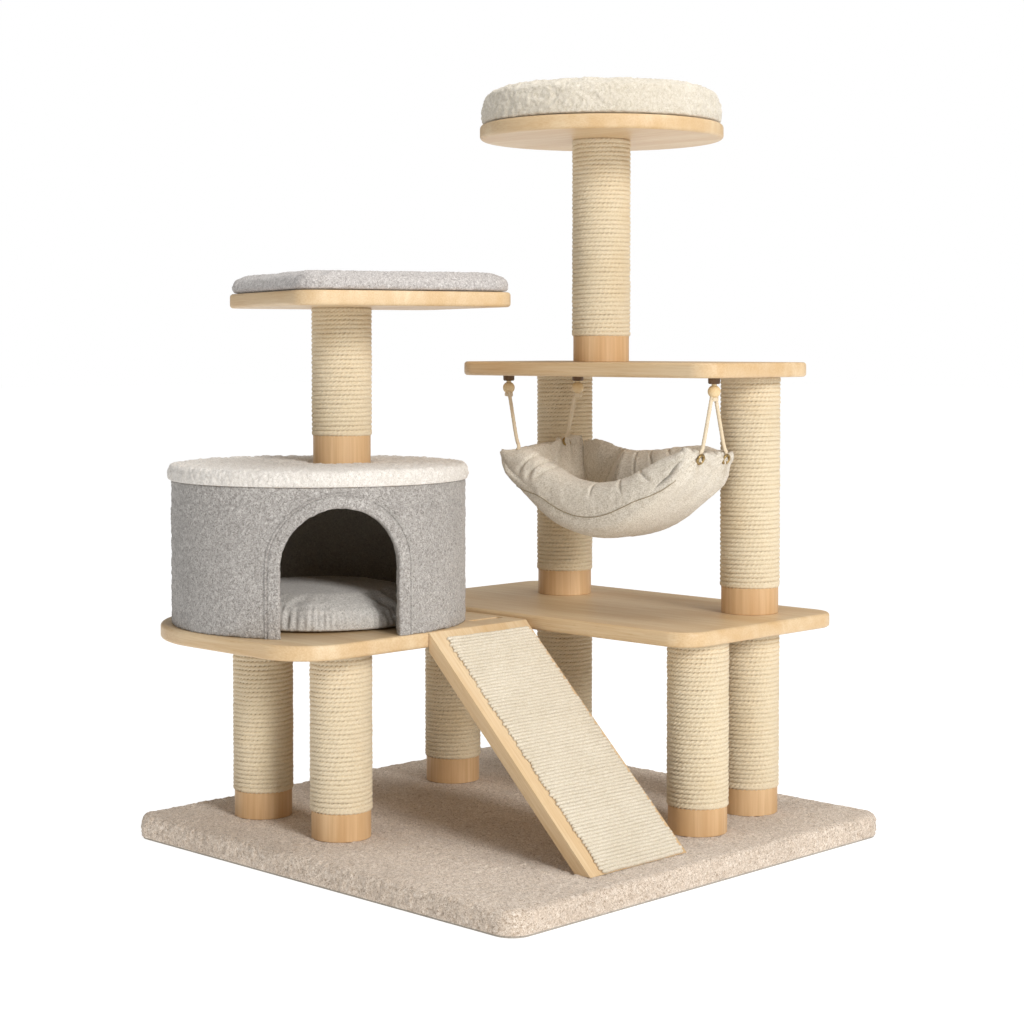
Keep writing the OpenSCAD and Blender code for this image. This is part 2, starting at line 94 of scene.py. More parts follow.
# The left perch's side, and its turn against the base.
PERCH_SIDE = 0.342
PERCH_TURN = math.radians(-19)
# Height of one turn of the posts' rope.
STRAND = 0.0066
# The way the den's door faces, half its width, and the height of its upright sides.
DOOR = math.radians(-32)
DOOR_HALF = 0.0865
DOOR_SIDE = 0.0995
# The ramp's slope, from its run and its rise.
SLOPE = math.atan2(0.2987, 0.314)
# Half the arc of the CAD's sling, half the round part of the cloth's, and the length of the
# straight ends that the cords draw upwards.
SLING_ARC = math.radians(65)
ROUND_ARC = math.radians(62)
LIFT = 0.030


# ---------- numbers ----------

def size(node):
    """Extent of a CAD node, as a vector."""
    low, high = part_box(node)
    return high - low


def middle(node):
    """Centre of a CAD node's box."""
    low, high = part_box(node)
    return (low + high) / 2


def hash01(cell, seed):
    """A repeatable number from 0 to 1 for each whole-number lattice cell. The large odd
    factors only scatter the bits."""
    c = cell.astype(np.int64).astype(np.uint32)
    h = c[..., 0] * np.uint32(374761393) + c[..., 1] * np.uint32(668265263)
    h = h + c[..., 2] * np.uint32(2147483647) + np.uint32(seed * 1013904223 % 4294967296)
    h = (h ^ (h >> np.uint32(13))) * np.uint32(1274126177)
    h = h ^ (h >> np.uint32(16))
    return (h & np.uint32(0xFFFFFF)).astype(float) / float(0xFFFFFF)


def noise3(points, seed=0):
    """Smooth value noise from -1 to 1 at points given in cells."""
    p = np.asarray(points, float)
    base = np.floor(p)
    f = smooth(p - base)
    total = np.zeros(p.shape[:-1])
    for i in (0, 1):
        for j in (0, 1):
            for k in (0, 1):
                w = np.where(i, f[..., 0], 1 - f[..., 0])
                w = w * np.where(j, f[..., 1], 1 - f[..., 1])
                w = w * np.where(k, f[..., 2], 1 - f[..., 2])
                total += w * hash01(base + (i, j, k), seed)
    return 2 * total - 1


def fractal(points, cell, octaves=3, seed=0):
    """Noise of several sizes, the largest one cell wide, in metres."""
    total = 0
    for k in range(octaves):
        total = total + noise3(np.asarray(points) * 2 ** k / cell, seed + k) / 2 ** k
    return total / (2 - 2 / 2 ** octaves)


def tufts(points, cell, seed=0, jitter=0.8):
    """Distance to the nearest of many scattered tuft centres, 0 at a centre and near 1 between."""
    p = np.asarray(points, float) / cell
    base = np.floor(p)
    best = np.full(p.shape[:-1], 9.0)
    for i in (-1, 0, 1):
        for j in (-1, 0, 1):
            for k in (-1, 0, 1):
                c = base + (i, j, k)
                centre = c + 0.5
                offsets = [hash01(c, seed + s) - 0.5 for s in (1, 2, 3)]
                centre = centre + jitter * np.stack(offsets, -1)
                best = np.minimum(best, np.linalg.norm(p - centre, axis=-1))
    return np.clip(best, 0, 1)


def smooth(t):
    """An eased step from 0 to 1, flat at both ends."""
    t = np.clip(t, 0, 1)
    return t * t * (3 - 2 * t)


# ---------- meshes ----------

def make(name, verts, faces, material, body="root", nodes=(), slot=None, flat=0, sharp=0):
    """A piece from points and arrays of faces, riding on a body and standing for CAD nodes.
    The last `flat` faces are shaded flat, and edges bent by more than `sharp` degrees, if it
    is given, are shaded sharp."""
    verts = np.asarray(verts, float).reshape(-1, 3)
    faces = [np.atleast_2d(np.asarray(f, np.int32)) for f in faces]
    totals = np.concatenate([np.full(len(f), f.shape[1], np.int32) for f in faces])
    loops = np.concatenate([f.ravel() for f in faces])
    mesh = bpy.data.meshes.new(name)
    mesh.vertices.add(len(verts))
    mesh.vertices.foreach_set("co", verts.ravel())
    mesh.loops.add(len(loops))
    mesh.loops.foreach_set("vertex_index", loops)
    mesh.polygons.add(len(totals))
    starts = np.concatenate([[0], np.cumsum(totals)[:-1]]).astype(np.int32)
    mesh.polygons.foreach_set("loop_start", starts)
    mesh.polygons.foreach_set("loop_total", totals)
    mesh.polygons.foreach_set("use_smooth", np.arange(len(totals)) < len(totals) - flat)
    mesh.update(calc_edges=True)
    mesh.validate()
    mesh.materials.append(material)
    obj = bpy.data.objects.new(name, mesh)
    bpy.context.collection.objects.link(obj)
    if sharp:
        smooth_by_angle(obj, sharp)
    return settle(obj, body, nodes)


def settle(obj, body, nodes):
    """Hands a finished piece to its body, if it has one yet."""
    if body:
        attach(obj, body)
    if nodes:
        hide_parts(*nodes)
    return obj


def grid(nu, nv, wrap_u=False, wrap_v=False):
    """Faces of a grid of nu by nv points, with v running fastest."""
    i = np.arange(nu if wrap_u else nu - 1)[:, None]
    j = np.arange(nv if wrap_v else nv - 1)[None]
    a, b, k = i * nv, (i + 1) % nu * nv, (j + 1) % nv
    return [np.stack([a + j, b + j, b + k, a + k], -1).reshape(-1, 4)]


def ring_faces(n_rings, n):
    """Faces between closed rings of n points, stacked upwards, and a cap at each end."""
    faces = grid(n_rings, n, wrap_v=True)
    faces[0] = faces[0][:, ::-1]
    faces.append(np.arange(n)[::-1])
    faces.append((n_rings - 1) * n + np.arange(n))
    return faces


def arc_outline(corners, step=6):
    """Closed outline with rounded corners. Each corner is x, y, radius, anticlockwise."""
    points = []
    n = len(corners)
    for i in range(n):
        here = np.array(corners[i][:2], float)
        before = np.array(corners[i - 1][:2], float) - here
        after = np.array(corners[(i + 1) % n][:2], float) - here
        before, after = before / np.linalg.norm(before), after / np.linalg.norm(after)
        r = corners[i][2]
        half = math.acos(np.clip(before @ after, -1, 1)) / 2
        bisector = (before + after) / np.linalg.norm(before + after)
        centre = here + bisector * r / math.sin(half)
        first = here + before * r / math.tan(half) - centre
        turn = math.pi - 2 * half
        count = max(2, int(math.degrees(turn) / step) + 1)
        for k in range(count + 1):
            a = turn * k / count
            points.append(centre + (first[0] * math.cos(a) - first[1] * math.sin(a),
                                    first[0] * math.sin(a) + first[1] * math.cos(a)))
    return np.array(points)


def box_outline(node, radii, grow=0.0):
    """Rounded outline of a CAD node's box, radii from the front left corner anticlockwise."""
    low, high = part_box(node)
    spots = ((low.x, low.y), (high.x, low.y), (high.x, high.y), (low.x, high.y))
    corners = []
    for (x, y), r in zip(spots, radii):
        x += grow if x == high.x else -grow
        y += grow if y == high.y else -grow
        corners.append((x, y, r + grow))
    return arc_outline(corners)


def normals_2d(outline):
    """Outward normals of an anticlockwise closed outline."""
    d = np.roll(outline, -1, 0) - np.roll(outline, 1, 0)
    n = np.stack([d[:, 1], -d[:, 0]], 1)
    return n / np.linalg.norm(n, axis=1)[:, None]


def unrolled(outline):
    """A closed outline with its first point again at its end, and the distance along it."""
    loop = np.vstack([outline, outline[:1]])
    steps = np.linalg.norm(np.diff(loop, axis=0), axis=1)
    return loop, np.concatenate([[0], np.cumsum(steps)])


def at_distance(where, run, loop):
    """Points at given distances along an unrolled outline."""
    return np.stack([np.interp(where, run, loop[:, k]) for k in (0, 1)], -1)


def even(outline, step):
    """The closed outline cut again into steps of about one length."""
    loop, run = unrolled(outline)
    n = max(8, round(run[-1] / step))
    return at_distance(np.linspace(0, run[-1], n, endpoint=False), run, loop)


def board_profile(thickness, r):
    """Inset and height pairs round a rounded board edge, from the underside to the top."""
    steps = 5
    pairs = [(2.2 * r, 0)]
    for k in range(steps + 1):
        a = math.pi / 2 * k / steps
        pairs.append((r * (1 - math.sin(a)), r * (1 - math.cos(a))))
    pairs += [(inset, thickness - z) for inset, z in reversed(pairs)]
    return pairs


def board(name, node, outline, material):
    """A flat board with softly rounded edges over an outline, as high as its CAD node."""
    low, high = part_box(node)
    n = normals_2d(outline)
    profile = board_profile(high.z - low.z, BOARD_R)
    verts = []
    for inset, z in profile:
        ring = outline - n * inset
        verts += [(x, y, low.z + z) for x, y in ring]
    return make(name, verts, ring_faces(len(profile), len(outline)), material, nodes=[node],
                slot="board_wood", flat=2)


def lathe(profile, steps, centre=(0, 0, 0)):
    """Points and faces of a closed profile of radius and height pairs turned about an upright
    line through centre."""
    verts = []
    for k in range(steps):
        a = TAU * k / steps
        verts += [(r * math.cos(a), r * math.sin(a), z) for r, z in profile]
    return np.array(verts) + np.array(centre), grid(steps, len(profile), wrap_u=True, wrap_v=True)


def tube(path, radius, around=10, closed=False, twist=0.0, lobes=3, depth=0.0):
    """Points and faces of a tube along a path; twist is turns per metre of its lobes."""
    p = np.asarray(path, float)
    if closed:
        t = np.roll(p, -1, 0) - np.roll(p, 1, 0)
    else:
        t = np.gradient(p, axis=0)
    t = t / np.linalg.norm(t, axis=1)[:, None]
    side = np.cross(t, (0, 0, 1.0))
    weak = np.linalg.norm(side, axis=1) < 1e-3
    side[weak] = np.cross(t[weak], (0, 1.0, 0))
    side /= np.linalg.norm(side, axis=1)[:, None]
    up = np.cross(side, t)
    step = np.linalg.norm(np.diff(p, axis=0), axis=1)
    along = np.concatenate([[0], np.cumsum(step)])
    a = TAU * np.arange(around) / around
    r = np.broadcast_to(np.asarray(radius, float), (len(p),))[:, None]
    r = r * (1 + depth * np.cos(lobes * (a[None] - TAU * twist * along[:, None])))
    verts = p[:, None] + r[..., None] * (np.cos(a)[None, :, None] * side[:, None]
                                         + np.sin(a)[None, :, None] * up[:, None])
    faces = grid(len(p), around, wrap_u=closed, wrap_v=True)
    if not closed:
        faces.append(np.arange(around))
        faces.append((len(p) - 1) * around + np.arange(around)[::-1])
    return verts.reshape(-1, 3), faces


def join(parts):
    """One list of points and faces from several."""
    verts, faces, count = [], [], 0
    for v, f in parts:
        verts.append(v)
        faces += [np.atleast_2d(face) + count for face in f]
        count += len(v)
    return np.vstack(verts), faces


def bezier(points, steps):
    """A smooth open path through given points, Catmull-Rom."""
    p = np.array(points, float)
    p = np.vstack([2 * p[0] - p[1], p, 2 * p[-1] - p[-2]])
    out = []
    for i in range(1, len(p) - 2):
        for t in np.arange(steps) / steps:
            a, b, c, d = p[i - 1:i + 3]
            out.append(0.5 * (2 * b + (c - a) * t + (2 * a - 5 * b + 4 * c - d) * t ** 2
                              + (3 * b - a - 3 * c + d) * t ** 3))
    out.append(p[-2])
    return np.array(out)


# ---------- materials ----------

def linear(text):
    """Linear colour from a hex string."""
    parts = [int(text[i:i + 2], 16) / 255 for i in (0, 2, 4)]
    return tuple(c / 12.92 if c <= 0.04045 else ((c + 0.055) / 1.055) ** 2.4 for c in parts) + (1,)


class Nodes:
    """Short calls for building one material's node tree."""

    def __init__(self, name, roughness=0.6, specular=0.3, sheen=0.0):
        self.material = bpy.data.materials.new(name)
        self.material.use_nodes = True
        self.tree = self.material.node_tree
        self.shader = self.tree.nodes["Principled BSDF"]
        self.shader.inputs["Roughness"].default_value = roughness
        self.shader.inputs["Specular IOR Level"].default_value = specular
        if sheen:
            self.shader.inputs["Sheen Weight"].default_value = sheen
            self.shader.inputs["Sheen Roughness"].default_value = 0.5
        coord = self.tree.nodes.new("ShaderNodeTexCoord")
        self.place = coord.outputs["Object"]

    def node(self, kind, links=(), **values):
        """A node with its properties set and each input linked or set."""
        made = self.tree.nodes.new(kind)
        for key, value in values.items():
            setattr(made, key, value)
        for socket, source in links:
            target = made.inputs[socket]
            if isinstance(source, bpy.types.NodeSocket):
                self.tree.links.new(source, target)
            else:
                target.default_value = source
        return made

    def moved(self, scale=(1, 1, 1), turn=(0, 0, 0)):
        """Object coordinates turned, then stretched."""
        turned = self.node("ShaderNodeMapping", [("Vector", self.place), ("Rotation", turn)])
        return self.node("ShaderNodeMapping", [("Vector", turned.outputs[0]), ("Scale", scale)],
                         vector_type="POINT").outputs[0]

    def noise(self, scale, detail=2.0, rough=0.5, vector=None, distortion=0.0):
        """Fractal noise, with scale in cells a metre."""
        return self.node("ShaderNodeTexNoise", [
            ("Vector", vector or self.place), ("Scale", scale), ("Detail", detail),
            ("Roughness", rough), ("Distortion", distortion)]).outputs["Fac"]

    def cells(self, scale):
        """Distance to the nearest of scattered points."""
        links = [("Vector", self.place), ("Scale", scale)]
        return self.node("ShaderNodeTexVoronoi", links).outputs["Distance"]

    def ramp(self, source, stops):
        """Colours at stops along a value."""
        made = self.node("ShaderNodeValToRGB", [("Fac", source)])
        bar = made.color_ramp
        while len(bar.elements) < len(stops):
            bar.elements.new(0.5)
        for element, (at, colour) in zip(bar.elements, stops):
            element.position = at
            element.color = colour if len(colour) == 4 else tuple(colour) + (1,)
        return made.outputs["Color"]

    def levels(self, source, low, high, to_low=0.0, to_high=1.0):
        """A value from one range brought to another, and held at its ends."""
        return self.node("ShaderNodeMapRange", [
            ("Value", source), ("From Min", low), ("From Max", high),
            ("To Min", to_low), ("To Max", to_high)]).outputs["Result"]

    def math(self, kind, a, b):
        """One sum of two values."""
        return self.node("ShaderNodeMath", [(0, a), (1, b)], operation=kind).outputs[0]

    def mix(self, factor, a, b, blend="MIX"):
        """Two colours mixed by a factor."""
        made = self.node("ShaderNodeMix", data_type="RGBA", blend_type=blend)
        for index, source in ((0, factor), (6, a), (7, b)):
            if isinstance(source, bpy.types.NodeSocket):
                self.tree.links.new(source, made.inputs[index])
            else:
                made.inputs[index].default_value = source
        return made.outputs[2]

    def colour(self, source):
        """The surface's colour."""
        self.tree.links.new(source, self.shader.inputs["Base Color"])

    def rough(self, source):
        """The surface's roughness."""
        self.tree.links.new(source, self.shader.inputs["Roughness"])

    def bump(self, height, distance, strength=1.0, under=None):
        """Fine relief of the shading, over an earlier bump if there is one."""
        links = [("Height", height), ("Distance", distance), ("Strength", strength)]
        if under is not None:
            links.append(("Normal", under))
        made = self.node("ShaderNodeBump", links)
        self.tree.links.new(made.outputs["Normal"], self.shader.inputs["Normal"])
        return made.outputs["Normal"]


def wood(name, light="e2cdab", dark="cfae80", turn=(0, 0, 0), rough=0.42):
    """Satin lacquered beech with its grain along local X."""
    m = Nodes(name, roughness=rough, specular=0.4)
    broad = m.noise(1.0, 4.0, 0.55, m.moved((2.2, 17, 17), turn), 0.4)
    wave = m.node("ShaderNodeTexWave", [
        ("Vector", m.moved((0.7, 14, 14), turn)), ("Scale", 1.0), ("Distortion", 5.0),
        ("Detail", 2.0), ("Detail Scale", 1.4)], bands_direction="Y").outputs["Fac"]
    fibre = m.noise(1.0, 3.0, 0.6, m.moved((14, 520, 520), turn))
    fleck = m.noise(1.0, 1.0, 0.5, m.moved((60, 900, 900), turn))
    tone = m.ramp(broad, [(0.28, linear(dark)), (0.72, linear(light))])
    tone = m.mix(m.levels(wave, 0.2, 0.9, 0.0, 0.22), tone, linear(dark))
    tone = m.mix(m.levels(fibre, 0.35, 0.75, 0.0, 0.34), tone, linear(dark), "MULTIPLY")
    tone = m.mix(m.levels(fleck, 0.66, 0.74, 0.0, 0.35), tone, linear("b08a58"))
    m.colour(tone)
    m.rough(m.levels(fibre, 0.3, 0.8, rough - 0.06, rough + 0.12))
    m.bump(fibre, 0.00025, 0.35)
    return m.material


def veneer(name):
    """Tan veneer with upright grain, on the collars."""
    m = Nodes(name, roughness=0.5, specular=0.35)
    streak = m.noise(1.0, 4.0, 0.6, m.moved((240, 240, 7)))
    broad = m.noise(1.0, 2.0, 0.5, m.moved((40, 40, 3)))
    tone = m.ramp(broad, [(0.3, linear("cda678")), (0.7, linear("dfbe94"))])
    tone = m.mix(m.levels(streak, 0.35, 0.7, 0.0, 0.5), tone, linear("b98f60"))
    m.colour(tone)
    m.rough(m.levels(streak, 0.3, 0.8, 0.44, 0.6))
    m.bump(streak, 0.0003, 0.4)
    return m.material


def sisal(name, light, mid, dark):
    """Straw fibres of rope or cord in three shades."""
    m = Nodes(name, roughness=0.78, specular=0.22, sheen=0.15)
    hair = m.noise(1.0, 5.0, 0.65, m.moved((900, 900, 2600)))
    patch = m.noise(60, 3.0, 0.6)
    stain = m.noise(9, 2.0, 0.5)
    tone = m.ramp(hair, [(0.3, linear(dark)), (0.46, linear(mid)), (0.66, linear(light))])
    tone = m.mix(m.levels(patch, 0.35, 0.7, 0.0, 0.45), tone, linear(mid))
    tone = m.mix(m.levels(stain, 0.5, 0.75, 0.0, 0.35), tone, linear("d3b888"))
    m.colour(tone)
    m.bump(hair, 0.0006, 0.8)
    return m.material


def pile(name, shades, scale, depth, sheen=0.4, fleck=0.6, rough=0.95):
    """Plush or looped cloth: curled fibres in three shades, dark to light."""
    m = Nodes(name, roughness=rough, specular=0.1, sheen=sheen)
    curl = m.noise(scale, 3.0, 0.62, distortion=1.4)
    fine = m.noise(scale * 2.7, 2.0, 0.5, distortion=0.6)
    broad = m.noise(14, 3.0, 0.5)
    tone = m.ramp(curl, [(0.34, linear(shades[0])), (0.5, linear(shades[1])),
                         (0.64, linear(shades[2]))])
    tone = m.mix(m.levels(fine, 0.42, 0.62, 0.0, fleck), tone, linear(shades[1]))
    tone = m.mix(m.levels(broad, 0.35, 0.75, 0.0, 0.25), tone, linear(shades[0]))
    m.colour(tone)
    first = m.bump(curl, depth, 0.9)
    m.bump(fine, depth * 0.4, 0.7, first)
    return m.material


def linen(name, shades):
    """Plain weave without UVs: fine threads along the three axes, in three shades of yarn."""
    m = Nodes(name, roughness=0.88, specular=0.15, sheen=0.25)
    across = m.noise(1.0, 2.0, 0.6, m.moved((160, 1500, 1500)))
    along = m.noise(1.0, 2.0, 0.6, m.moved((1500, 1500, 160)))
    third = m.noise(1.0, 2.0, 0.6, m.moved((1500, 160, 1500)))
    yarn = m.math("ADD", m.math("ADD", across, along), third)
    yarn = m.levels(yarn, 1.2, 1.8)
    tone = m.ramp(yarn, [(0.2, linear(shades[0])), (0.5, linear(shades[1])),
                         (0.8, linear(shades[2]))])
    slub = m.noise(90, 3.0, 0.6)
    tone = m.mix(m.levels(slub, 0.5, 0.75, 0.0, 0.35), tone, linear(shades[0]))
    m.colour(tone)
    m.bump(yarn, 0.0005, 0.7)
    return m.material


def plain(name, shade, rough, speck, metal=0.0):
    """A plain hard finish with faint specks and wear."""
    m = Nodes(name, roughness=rough, specular=0.4)
    m.shader.inputs["Metallic"].default_value = metal
    grainy = m.noise(400, 3.0, 0.6)
    tone = m.ramp(grainy, [(0.3, linear(speck)), (0.65, linear(shade))])
    m.colour(tone)
    m.rough(m.levels(grainy, 0.3, 0.7, rough - 0.08, rough + 0.1))
    return m.material


def chipboard(name):
    """Raw particle board, for the hidden boards and plugs."""
    m = Nodes(name, roughness=0.8, specular=0.2)
    chips = m.cells(260)
    tint = m.noise(180, 3.0, 0.7)
    tone = m.ramp(chips, [(0.1, linear("b08c5e")), (0.6, linear("d2b384"))])
    tone = m.mix(m.levels(tint, 0.4, 0.7, 0.0, 0.6), tone, linear("8e6c42"))
    m.colour(tone)
    m.bump(chips, 0.0004, 0.5)
    return m.material


MAT = {
    "board": wood("board_wood"),
    "ramp_wood": wood("ramp_wood", turn=(0, -0.76, 0)),
    "collar": veneer("collar_veneer"),
    "rope": sisal("sisal_rope", "f1e7d2", "e0cfb0", "a98955"),
    "cord": sisal("cotton_cord", "efe3cc", "dfcdb0", "b39c76"),
    "mat": pile("ramp_mat_yarn", ("b8a88b", "ddd3c0", "ece5d8"), 700, 0.0005, 0.2),
    "carpet": pile("base_carpet_pile", ("8d7965", "d7c5b2", "f7ecdf"), 340, 0.0014, 0.3, 0.4),
    "plush": pile("den_plush_pile", ("76716c", "a7a29d", "d1cdc8"), 330, 0.0012, 0.3, 0.35),
    "lid": pile("lid_plush_pile", ("c4bcb1", "e6e0d8", "f6f2ec"), 360, 0.0014, 0.35, 0.45),
    "pad": pile("pad_plush_pile", ("8a8480", "bfb9b5", "e4e0dc"), 340, 0.0012, 0.3, 0.4),
    "sherpa": pile("sherpa_pile", ("beb39e", "dad1c0", "e9e2d6"), 300, 0.0016, 0.3),
    "cushion": pile("den_cushion_cloth", ("98948f", "c9c5bf", "e4e1dc"), 420, 0.0008, 0.3, 0.4),
    "lining": pile("dark_lining_felt", ("857f76", "a8a196", "c2bbb0"), 500, 0.0006, 0.1),
    "linen": linen("hammock_linen", ("b7ab97", "dfd6c6", "efe8dc")),
    "linen_seam": plain("linen_seam_thread", "a89a82", 0.9, "8f8168"),
    "chip": chipboard("particle_board"),
    "bracket": wood("bracket_wood", "7f5f3d", "4f3822", rough=0.5),
    "knob": wood("knob_wood", "ecd8b2", "dabf90", rough=0.5),
    "brass": plain("eyelet_brass", "b3996a", 0.35, "8d754a", 1.0),
    "steel": plain("zinc_steel", "c2c4c6", 0.3, "9da0a3", 1.0),
}


# ---------- shared ways of shaping ----------

def coords(obj):
    """Every point of a mesh, as rows of an array."""
    co = np.empty(len(obj.data.vertices) * 3)
    obj.data.vertices.foreach_get("co", co)
    return co.reshape(-1, 3)


def vertex_normals(obj):
    """Every point's normal, as rows of an array."""
    n = np.empty(len(obj.data.vertices) * 3, np.float32)
    obj.data.vertex_normals.foreach_get("vector", n)
    return n.reshape(-1, 3).astype(float)


def set_coords(obj, co):
    """Puts a mesh's points at the rows of an array."""
    obj.data.vertices.foreach_set("co", np.asarray(co, float).ravel())
    obj.data.update()


def displace(obj, height):
    """Moves every point along its normal by height(points), in metres."""
    co = coords(obj)
    set_coords(obj, co + vertex_normals(obj) * height(co)[:, None])
    return obj


def bake(obj):
    """Applies the piece's modifiers to its mesh."""
    graph = bpy.context.evaluated_depsgraph_get()
    bpy.context.view_layer.update()
    mesh = bpy.data.meshes.new_from_object(obj.evaluated_get(graph))
    old = obj.data
    obj.modifiers.clear()
    obj.data = mesh
    bpy.data.meshes.remove(old)
    return obj


def smooth_by_angle(obj, degrees):
    """Smooth shading that keeps the edges sharper than an angle."""
    obj.data.polygons.foreach_set("use_smooth", [True] * len(obj.data.polygons))
    obj.data.set_sharp_from_angle(angle=math.radians(degrees))


def prism(outline, z_low, z_high):
    """Points and faces of a straight prism over an anticlockwise outline."""
    n = len(outline)
    verts = [(x, y, z) for z in (z_low, z_high) for x, y in outline]
    return np.array(verts), ring_faces(2, n)


def circle(radius, count, centre):
    """A level circle's outline, about the X and Y of its centre."""
    a = TAU * np.arange(count) / count
    return np.stack([centre.x + radius * np.cos(a), centre.y + radius * np.sin(a)], 1)


def off_axis(p, centre):
    """Level distance of points from an upright line through centre."""
    return np.hypot(p[:, 0] - centre.x, p[:, 1] - centre.y)


def dome(centre, reach, rise):
    """A crown for slab(): highest over centre by rise, and level with the rim at reach."""
    return lambda xy: rise * (1 - (off_axis(xy, centre) / reach) ** 2)


def spread(outline, m):
    """Points of a square grid, 2m + 1 a side, spread over an outline, and its rim's indices."""
    i, j = np.meshgrid(np.arange(-m, m + 1), np.arange(-m, m + 1), indexing="ij")
    s = np.maximum(abs(i), abs(j))
    safe = np.maximum(s, 1)
    along = np.where(j == -s, i + s, np.where(i == s, 3 * s + j,
                                              np.where(j == s, 5 * s - i, 7 * s - j)))
    q = (along / (8 * safe)) % 1.0
    loop, run = unrolled(outline)
    centre = outline.mean(0)
    xy = at_distance(q, run / run[-1], loop)
    xy = centre + (xy - centre) * (s / m)[..., None]
    n = 2 * m + 1
    index = np.arange(n * n).reshape(n, n)
    rim = np.concatenate([index[:-1, 0], index[-1, :-1], index[:0:-1, -1], index[0, :0:-1]])
    return xy.reshape(-1, 2), rim


def slab(outline, profile, m, crown=None):
    """A closed soft body over an outline. profile holds inset and height pairs from the
    upper face's rim, down the side, to the underside's rim. crown(points) lifts the top."""
    n = normals_2d(outline)
    top, rim = spread(outline - n * profile[0][0], m)
    z = np.full(len(top), float(profile[0][1]))
    if crown is not None:
        z = z + crown(top)
    verts = [np.column_stack([top, z])]
    count = len(rim)
    loop, run = unrolled(outline)
    base = at_distance(np.arange(count) / count * run[-1], run, loop)
    out = normals_2d(base)
    rings = [rim]
    start = len(top)
    for inset, height in profile[1:]:
        xy = base - out * inset
        verts.append(np.column_stack([xy, np.full(count, float(height))]))
        rings.append(start + np.arange(count))
        start += count
    faces = grid(2 * m + 1, 2 * m + 1)
    for upper, lower in zip(rings, rings[1:]):
        faces.append(np.stack([upper, lower, np.roll(lower, -1), np.roll(upper, -1)], -1))
    faces.append(rings[-1][::-1])
    return np.vstack(verts), faces


def edge_profile(low, high, r_top, r_low, step, overhang=0.0):
    """Inset and height pairs down a soft edge, from the top's rim to the underside's."""
    pairs = []
    steps = max(3, int(r_top * math.pi / 2 / step))
    for k in range(steps + 1):
        a = math.pi / 2 * k / steps
        pairs.append((r_top * (1 - math.sin(a)), high - r_top * (1 - math.cos(a))))
    side = high - r_top - low - r_low
    count = max(1, int(side / step))
    for k in range(1, count):
        pairs.append((-overhang * math.sin(math.pi * k / count), high - r_top - side * k / count))
    steps = max(2, int(r_low * math.pi / 2 / step))
    for k in range(steps + 1):
        a = math.pi / 2 * k / steps
        pairs.append((r_low * (1 - math.cos(a)), low + r_low * (1 - math.sin(a))))
    return pairs


def fur(points, cell, depth, seed=0):
    """Height of curled pile: tufts broken up by noise."""
    warp = np.stack([noise3(points / (2.2 * cell), seed + k) for k in (11, 12, 13)], -1)
    t = tufts(points + warp * cell * 0.7, cell, seed)
    return depth * (1 - t ** 1.5 + 0.45 * noise3(points / (1.2 * cell), seed + 5) - 0.5)


def puff(obj, pressure, cap, voxel, seam):
    """Inflates a soft body with cloth simulation and applies it. Points where seam() is true
    are held. The move of any point is limited to cap."""
    mod = obj.modifiers.new("even", "REMESH")
    mod.mode = "VOXEL"
    mod.voxel_size = voxel
    bake(obj)
    obj.data.polygons.foreach_set("use_smooth", [True] * len(obj.data.polygons))
    before = coords(obj)
    cloth = obj.modifiers.new("cloth", "CLOTH")
    s = cloth.settings
    s.quality = 5
    s.use_pressure = True
    s.uniform_pressure_force = pressure
    s.effector_weights.gravity = 0
    s.tension_stiffness = s.compression_stiffness = 12
    s.bending_stiffness = 0.4
    group = obj.vertex_groups.new(name="seam")
    group.add([int(i) for i in np.nonzero(seam(before))[0]], 1.0, "REPLACE")
    s.vertex_group_mass = "seam"
    scene = bpy.context.scene
    for frame_number in range(1, 21):
        scene.frame_set(frame_number)
    graph = bpy.context.evaluated_depsgraph_get()
    done = obj.evaluated_get(graph).data
    after = np.empty(len(before) * 3)
    done.vertices.foreach_get("co", after)
    move = after.reshape(-1, 3) - before
    length = np.linalg.norm(move, axis=1)[:, None]
    move *= np.minimum(1, cap / np.maximum(length, 1e-9))
    obj.modifiers.clear()
    obj.vertex_groups.clear()
    scene.frame_set(1)
    set_coords(obj, before + move)
    return obj


def refine(obj):
    """Splits every face in four and rounds the result."""
    mod = obj.modifiers.new("fine", "SUBSURF")
    mod.levels = mod.render_levels = 1
    return bake(obj)


# ---------- camera, light and floor ----------

def camera():
    """The photograph's viewpoint: a long lens a little above the middle, seen corner on."""
    data = bpy.data.cameras.new("camera")
    data.lens = 73.975
    data.shift_x = 0.00284
    data.shift_y = -0.09039
    data.clip_end = 100
    obj = bpy.data.objects.new("camera", data)
    obj.location = (2.23431, -2.26890, 0.74648)
    obj.rotation_euler = (math.radians(88), 0, 0.77776)
    bpy.context.collection.objects.link(obj)
    bpy.context.scene.camera = obj


def area_light(name, place, target, width, watts, tint):
    """A square lamp at a place, turned towards its target."""
    data = bpy.data.lights.new(name, "AREA")
    data.shape = "SQUARE"
    data.size = width
    data.energy = watts
    data.color = tint
    obj = bpy.data.objects.new(name, data)
    obj.location = place
    aim = Vector(target) - Vector(place)
    obj.rotation_euler = aim.to_track_quat("-Z", "Y").to_euler()
    bpy.context.collection.objects.link(obj)


